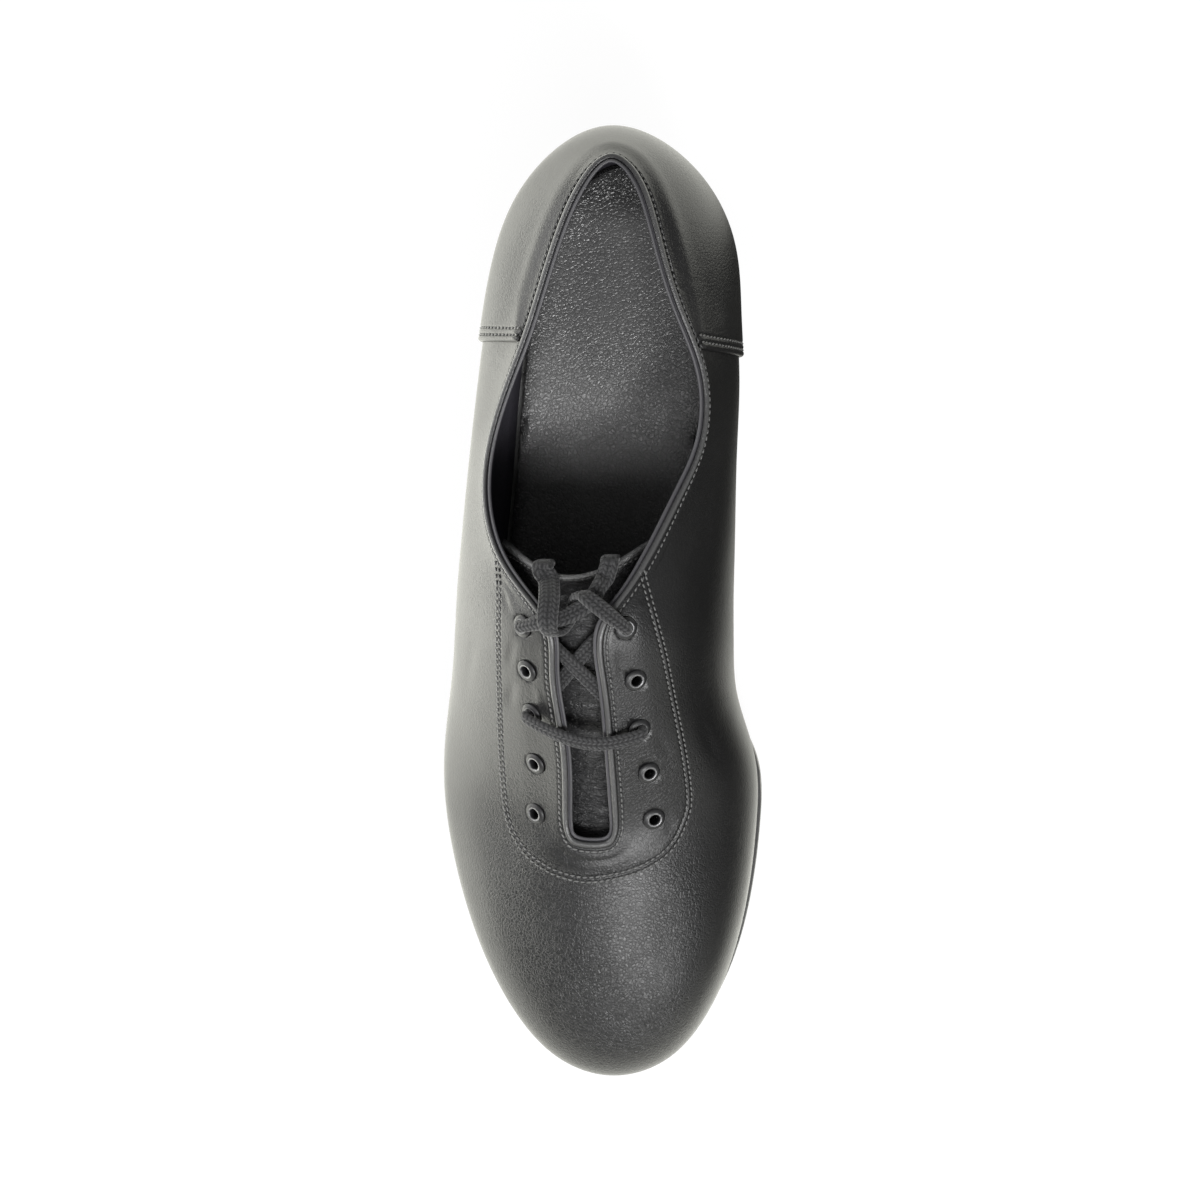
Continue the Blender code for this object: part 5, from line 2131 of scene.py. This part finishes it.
@dataclass
class Lace:
    """Flat braided lace: bar, crossing, and two ends that meet in a half knot."""

    last: Last
    eyelets: Eyelets
    tongue: Tongue
    thickness: float = 1.7
    hole_width: float = 2.7
    bar_width: float = 3.9
    cross_width: float = 4.2
    end_width: float = 5.0
    over: float = 2.7
    over_edge: float = 2.1
    under: float = 1.75
    on_tongue: float = 1.9
    hang: float = 14.0
    bar_sag: float = 1.2
    plait: float = 1.45
    column: float = 1.15
    relief: float = 0.36
    around: int = 64
    step: float = 0.22
    per_span: int = 14
    wide_power: float = 0.62
    tall_power: float = 0.72
    edge_below: float = 0.8
    bar_into: float = -1.0
    cross_into: float = -0.6
    cross_drop: tuple[float, float] = (0.9, -0.2)

    def rowed(self, point: Array, face: Array, width: float) -> Array:
        """Point, facing and width as one row."""
        return np.concatenate([point, unit(np.asarray(face, float)), [width]])

    def at_eyelet(self, name: str, lift: float, width: float) -> Array:
        """Row on an eyelet's axis, facing as the leather does."""
        face = self.eyelets.point(name, 1.0) - self.eyelets.point(name, 0.0)
        return self.rowed(self.eyelets.point(name, lift), face, width)

    def at_edge(self, side: Side, y: float, lift: float, width: float) -> Array:
        """Row over or under the throat's edge.

        Args:
            side: Side of the throat.
            y: Place along the shoe.
            lift: Height over the upper.
            width: Width of the lace.

        Returns:
            The row.
        """
        turn = np.array(self.last.turn_at(y, self.edge_below, f"ball_{side.value}", f"throat_{side.value}"))
        climb = self.last.climb_below(turn, self.edge_below)
        return self.rowed(self.last.skin(turn, climb, lift), self.last.normal(turn, climb), width)

    def tube(self, rows: Array) -> BMesh:
        """Braided flat tube along rows of point, facing and width.

        Args:
            rows: The rows.

        Returns:
            The closed tube.
        """
        route = evenly(through(rows, self.per_span), self.step)
        along = unit(np.gradient(route[:, :3], axis=0))
        face = unit(route[:, 3:6] - np.sum(route[:, 3:6] * along, axis=1, keepdims=True) * along)
        side = np.cross(along, face)
        count = len(route) - 1

        def place(across: Array, share: Array) -> Array:
            """Points of the tube from shares of the way round and along."""
            at = np.rint(share * count).astype(int)
            angle = math.tau * across
            wide = np.sign(np.cos(angle)) * np.abs(np.cos(angle)) ** self.wide_power
            tall = np.sign(np.sin(angle)) * np.abs(np.sin(angle)) ** self.tall_power
            q = 0.5 * route[at, 6] * wide
            strand = self.strand(q, at * self.step)
            thick = 0.5 * self.thickness * np.minimum(1.0, 0.75 + 0.25 * self.end_width / route[at, 6])
            h = tall * (thick + self.relief * strand)
            return route[at, :3] + q[:, None] * side[at] + h[:, None] * face[at]

        bm = draped(self.around, count, place)
        bmesh.ops.remove_doubles(bm, verts=[v for v in bm.verts if v.is_boundary], dist=0.002)
        bmesh.ops.holes_fill(bm, edges=[edge for edge in bm.edges if edge.is_boundary], sides=0)
        bmesh.ops.recalc_face_normals(bm, faces=bm.faces)
        # Strand height, which the lace's material turns into painted shade between strands and painted
        # highlight on top.
        layer = bm.verts.layers.float.new("strand")
        tree = tree_of(route[:, :3])
        for vert in bm.verts:
            i = tree.find(vert.co)[1]
            q = float(np.dot(np.array(vert.co) - route[i, :3], side[i]))
            vert[layer] = float(self.strand(np.array(q), np.array(i * self.step)))
        return bm

    def strand(self, across: Array, along: Array) -> Array:
        """Height of the plaited strands, from 0 between them to 1 on top.

        Args:
            across: Places across the lace.
            along: Places along it.

        Returns:
            The heights.
        """
        column = np.asarray(across) / self.column
        lean = np.abs(np.mod(column, 2.0) - 1.0)
        dash = np.abs(np.sin(np.pi * (along / self.plait + 0.85 * lean)))
        return dash**0.6 * (0.3 + 0.7 * np.abs(np.sin(np.pi * column)) ** 0.6)

    def strand_rows(
        self, strand: Strand, at_eyelet: float, at_edge: float, width: float, into: float
    ) -> list[Array]:
        """Rows of a strand from one eyelet to the other.

        Args:
            strand: The eyelets and the places on the edges.
            at_eyelet: Height over or under the upper at the eyelets.
            at_edge: Height over or under the upper at the edges.
            width: Width of the lace.
            into: Height at which it ends inside the eyelets.

        Returns:
            The rows.
        """
        return [
            self.at_eyelet(strand.lateral, into, self.hole_width),
            self.at_eyelet(strand.lateral, at_eyelet, 0.5 * (self.hole_width + width)),
            self.at_edge(Side.LATERAL, strand.lateral_y, at_edge, width),
            self.at_edge(Side.MEDIAL, strand.medial_y, at_edge, width),
            self.at_eyelet(strand.medial, at_eyelet, 0.5 * (self.hole_width + width)),
            self.at_eyelet(strand.medial, into, self.hole_width),
        ]

    def end_rows(self, eyelet: str, knot: tuple[LacePoint, ...], over: TongueCrossing) -> Array:
        """Rows of an end, from its eyelet through the knot and over the tongue's top edge.

        Args:
            eyelet: Eyelet that it comes from.
            knot: Its way through the knot.
            over: Its way over the tongue.

        Returns:
            The rows.
        """
        across = np.array([over.across, over.across])
        near, edge = self.tongue.middle(across, np.array([0.92, 1.0]))
        past = edge + np.array([0.0, 1.9, 0.2])
        end = past + np.array([over.drift, 0.3, -self.hang])
        rows = [
            self.at_eyelet(eyelet, -1.0, self.hole_width),
            self.at_eyelet(eyelet, 1.4, self.hole_width + 0.5),
            *[self.rowed(np.array(point[:3]), np.array(point[3:6]), point.width) for point in knot],
            self.rowed(near + 1.5 * self.on_tongue * UP, np.array([0.0, 0.1, 1.0]), over.width),
            self.rowed(edge + self.on_tongue * UP, np.array([0.0, 0.3, 1.0]), over.width),
            self.rowed(past, np.array([0.0, 0.9, 0.5]), over.width),
            self.rowed(end, np.array([0.0, 1.0, 0.1]), self.end_width),
        ]
        return np.array(rows)

    def build(self, braid: Material) -> None:
        """Args:
            braid: Material of the lace.
        """
        bar = self.strand_rows(BAR, self.over, self.over_edge, self.bar_width, self.bar_into)
        middle = 0.5 * (bar[2] + bar[3]) - np.array([0.0, self.bar_sag, 0.0, 0.0, 0.0, 0.0, 0.0])
        bm = self.tube(np.array([*bar[:3], middle, *bar[3:]]))
        piece("lace_bar_braid", bm, Slot.LACE, ("lace_bar",), braid)
        depth = -self.last.wall - self.under
        bm = bmesh.new()
        for strand, more in zip(CROSSING, self.cross_drop):
            rows = self.strand_rows(strand, depth, depth - more, self.cross_width, self.cross_into)
            join(bm, self.tube(np.array(rows)))
        piece("lace_cross_braid", bm, Slot.LACE, ("lace_cross",), braid)
        ends = {
            "lace_end_lateral": ("eyelet_lateral_1", KNOT_LATERAL, TongueCrossing(0.66, -0.9, 5.3)),
            "lace_end_medial": ("eyelet_medial_1", KNOT_MEDIAL, TongueCrossing(0.36, -1.1, 6.0)),
        }
        for name, (eyelet, knot, over) in ends.items():
            rows = self.end_rows(eyelet, knot, over)
            made = piece(f"{name}_braid", self.tube(rows), Slot.LACE, (name,), braid)


@dataclass(frozen=True)
class Lamp:
    """A soft rectangular light."""

    name: str
    place: tuple[float, float, float]
    aim: tuple[float, float, float]
    size: tuple[float, float]
    watts: float
    roll: float = 0.0


LAMPS = (
    Lamp("side_window", (-0.95, 0.14, 0.55), (-0.03, 0.0, 0.05), (0.9, 0.9), 8.0),
    Lamp("toe_window", (0.41, -0.766, 1.09), (0.01, -0.09, 0.05), (0.46, 0.18), 8.5),
    Lamp("inner_window", (0.73, -0.82, 0.82), (0.01, -0.09, 0.05), (0.54, 0.26), 5.0, -49.0),
    Lamp("front_ceiling", (0.0, -0.80, 1.30), (0.0, 0.0, 0.05), (0.8, 0.6), 6.4),
)


@dataclass
class Studio:
    """Floor, lamps, sky and camera."""

    aim: tuple[float, float, float] = (0.00075, 0.0021, 0.040)
    back: tuple[float, float, float] = (0.1304, 0.0043, 0.9914)
    image_up: tuple[float, float, float] = (-0.033, 0.999, 0.0)
    distance: float = 1.4
    lens: float = 144.9
    sky: float = 0.21
    backdrop: float = 0.95
    floor_size: float = 3.0
    floor_seen: float = 0.82
    floor_white: float = 1.10
    floor_near: float = 2.5
    floor_far: float = 8.6
    dark_middle: tuple[float, float] = (0.79, -0.045)
    dark_half: tuple[float, float] = (0.742, 0.180)
    dark_slant: float = 0.2
    front_dim: float = 0.72
    back_dim: float = 0.78
    rim_dim: float = 0.22
    near_run: tuple[float, float] = (-0.30, -0.08)
    rim_run: tuple[float, float] = (-0.60, -0.32)
    front_run: tuple[float, float] = (-0.22, -0.06)
    back_run: tuple[float, float] = (0.04, 0.14)
    dark_soft: tuple[float, float] = (0.015, 0.02)
    dark_left: float = 0.02
    glow: tuple[float, float, float] = (1.0, 1.0, 0.92)
    paper: float = 0.85
    floor_drop: float = 0.0002
    sensor: float = 36.0

    def build_camera(self) -> None:
        """Camera over the shoe, rolled as the photograph is."""
        data = bpy.data.cameras.new("camera")
        data.lens = self.lens
        data.sensor_width = self.sensor
        camera = bpy.data.objects.new("camera", data)
        back = Vector(self.back).normalized()
        right = Vector(self.image_up).cross(back).normalized()
        turned = Matrix((right, back.cross(right), back)).transposed().to_4x4()
        camera.matrix_world = Matrix.Translation(Vector(self.aim) + self.distance * back) @ turned
        bpy.context.scene.collection.objects.link(camera)
        bpy.context.scene.camera = camera

    def floor_strength(self, nodes: Nodes) -> Socket:
        """Strength of the light from the floor, dim on the shoe's inner side and at the far rim.

        Args:
            nodes: Nodes of the floor's material.

        Returns:
            The strength.
        """
        place = nodes.add("SeparateXYZ", Vector=nodes.place())
        across, along = place.outputs[0], place.outputs[1]
        slanted = nodes.math("ADD", across, nodes.times(along, self.dark_slant))
        dark = 1.0
        for at, middle, half in zip((slanted, along), self.dark_middle, self.dark_half):
            off = nodes.math("ABSOLUTE", nodes.math("SUBTRACT", at, middle))
            inside, outside = half - self.dark_soft[0], half + self.dark_soft[1]
            dark = nodes.times(nodes.ranged(off, inside, outside, 1.0, 0.0), dark)
        strength = nodes.ranged(across, *self.near_run, self.floor_far, self.floor_near)
        for at, run, low, high in (
            (across, self.rim_run, self.rim_dim, 1.0),
            (along, self.front_run, self.front_dim, 1.0),
            (along, self.back_run, 1.0, self.back_dim),
        ):
            strength = nodes.times(strength, nodes.ranged(at, *run, low, high))
        return nodes.times(nodes.ranged(dark, 0.0, 1.0, 1.0, self.dark_left), strength)

    def build_floor(self) -> None:
        """White sweep that lights the shoe from below."""
        bm = bmesh.new()
        bmesh.ops.create_grid(bm, x_segments=4, y_segments=4, size=0.5 * self.floor_size)
        mesh = bpy.data.meshes.new("floor")
        bm.to_mesh(mesh)
        bm.free()
        floor = bpy.data.objects.new("floor", mesh)
        floor.location.z = -self.floor_drop
        bpy.context.scene.collection.objects.link(floor)
        made, nodes, shader = new_material("floor_white")
        nodes.feed(shader, "Base Color", (self.paper, self.paper, self.paper, 1.0))
        nodes.feed(shader, "Roughness", 0.9)
        glow = nodes.add("Emission", Color=(*self.glow, 1.0), Strength=self.floor_strength(nodes))
        white = nodes.add("Emission", Color=(1.0, 1.0, 1.0, 1.0), Strength=self.floor_white)
        seen = nodes.add("MixShader", at0=self.floor_seen, at1=shader.outputs[0], at2=white.outputs[0])
        camera = nodes.add("LightPath").outputs["Is Camera Ray"]
        mix = nodes.add("MixShader", at0=camera, at1=glow.outputs[0], at2=seen.outputs[0])
        nodes.feed(nodes.tree.nodes["Material Output"], "Surface", mix.outputs[0])
        mesh.materials.append(made)

    def build_light(self) -> None:
        """Soft lamps and an even sky."""
        for lamp in LAMPS:
            data = bpy.data.lights.new(lamp.name, "AREA")
            data.shape = "RECTANGLE"
            data.size, data.size_y = lamp.size
            data.energy = lamp.watts
            made = bpy.data.objects.new(lamp.name, data)
            made.location = lamp.place
            aim = Vector(lamp.aim) - Vector(lamp.place)
            rolled = Quaternion((0.0, 0.0, 1.0), math.radians(lamp.roll))
            made.rotation_euler = (aim.to_track_quat("-Z", "Y") @ rolled).to_euler()
            bpy.context.scene.collection.objects.link(made)
        world = bpy.data.worlds.new("sky")
        world.use_nodes = True
        nodes = Nodes(world.node_tree)
        seen = nodes.add("LightPath").outputs["Is Camera Ray"]
        strength = nodes.ranged(seen, 0.0, 1.0, self.sky, self.backdrop)
        nodes.feed(world.node_tree.nodes["Background"], "Color", (1.0, 1.0, 1.0, 1.0))
        nodes.feed(world.node_tree.nodes["Background"], "Strength", strength)
        bpy.context.scene.world = world
        bpy.context.scene.view_settings.view_transform = "Standard"

    def build(self) -> None:
        """Set up the whole studio."""
        self.build_camera()
        self.build_floor()
        self.build_light()


EDGE_SEAM_BELOW = 2.95
EDGE_SEAM_DEPTH = 0.1
EYESTAY_LIFT = 0.26


def edge_seam(last: Last, below: float) -> SeamLine:
    """Stitch row that follows collar and throat at a distance below the edge.

    Args:
        last: The upper's surface.
        below: Distance below the edge.

    Returns:
        The row.
    """
    turn = np.linspace(0.0, last.round, 900)
    line = seam_on(last, turn, last.climb_below(turn, np.full_like(turn, below)))
    return SeamLine(line.points - EDGE_SEAM_DEPTH * line.normals, line.normals)


def main() -> None:
    """Build the studio and every piece of the shoe."""
    logging.basicConfig(level=logging.INFO, format="%(name)s %(message)s")
    Studio().build()
    make_grain()
    make_handling()
    make_crepe()
    leather = UPPER_LEATHER.make()
    thread = Thread().make()
    last = Last()
    eyelets = Eyelets(last)
    tongue = Tongue(last)
    Lace(last, eyelets, tongue).build(Braid().make())
    eyelets.build(Enamel().make())
    upper = Upper(last, eyelets)
    upper.build(leather, LINING.make())
    counter = Counter(last)
    counter.build(leather)
    tongue.build(TONGUE_LEATHER.make())
    bottom = Bottom(last)
    bottom.build_sole(SOLE_RUBBER.make())
    bottom.build_sock(SOCK_LEATHER.make())
    bottom.build_heel(HEEL_BLOCK.make())
    stitching = Stitching()
    rows = [upper.sewn_line(gap) for gap in (-upper.row_gap, upper.row_gap)]
    stitching.sew("stitches_eyestay", rows, Slot.UPPER, thread, EYESTAY_LIFT)
    stitching.sew("stitches_edge", [edge_seam(last, EDGE_SEAM_BELOW)], Slot.UPPER, thread)
    stitching.sew("stitches_counter", counter.seams(), Slot.COUNTER, thread)
    stitching.sew("stitches_tongue", [tongue.seam()], Slot.TONGUE, thread)


if __name__ == "__main__":
    main()
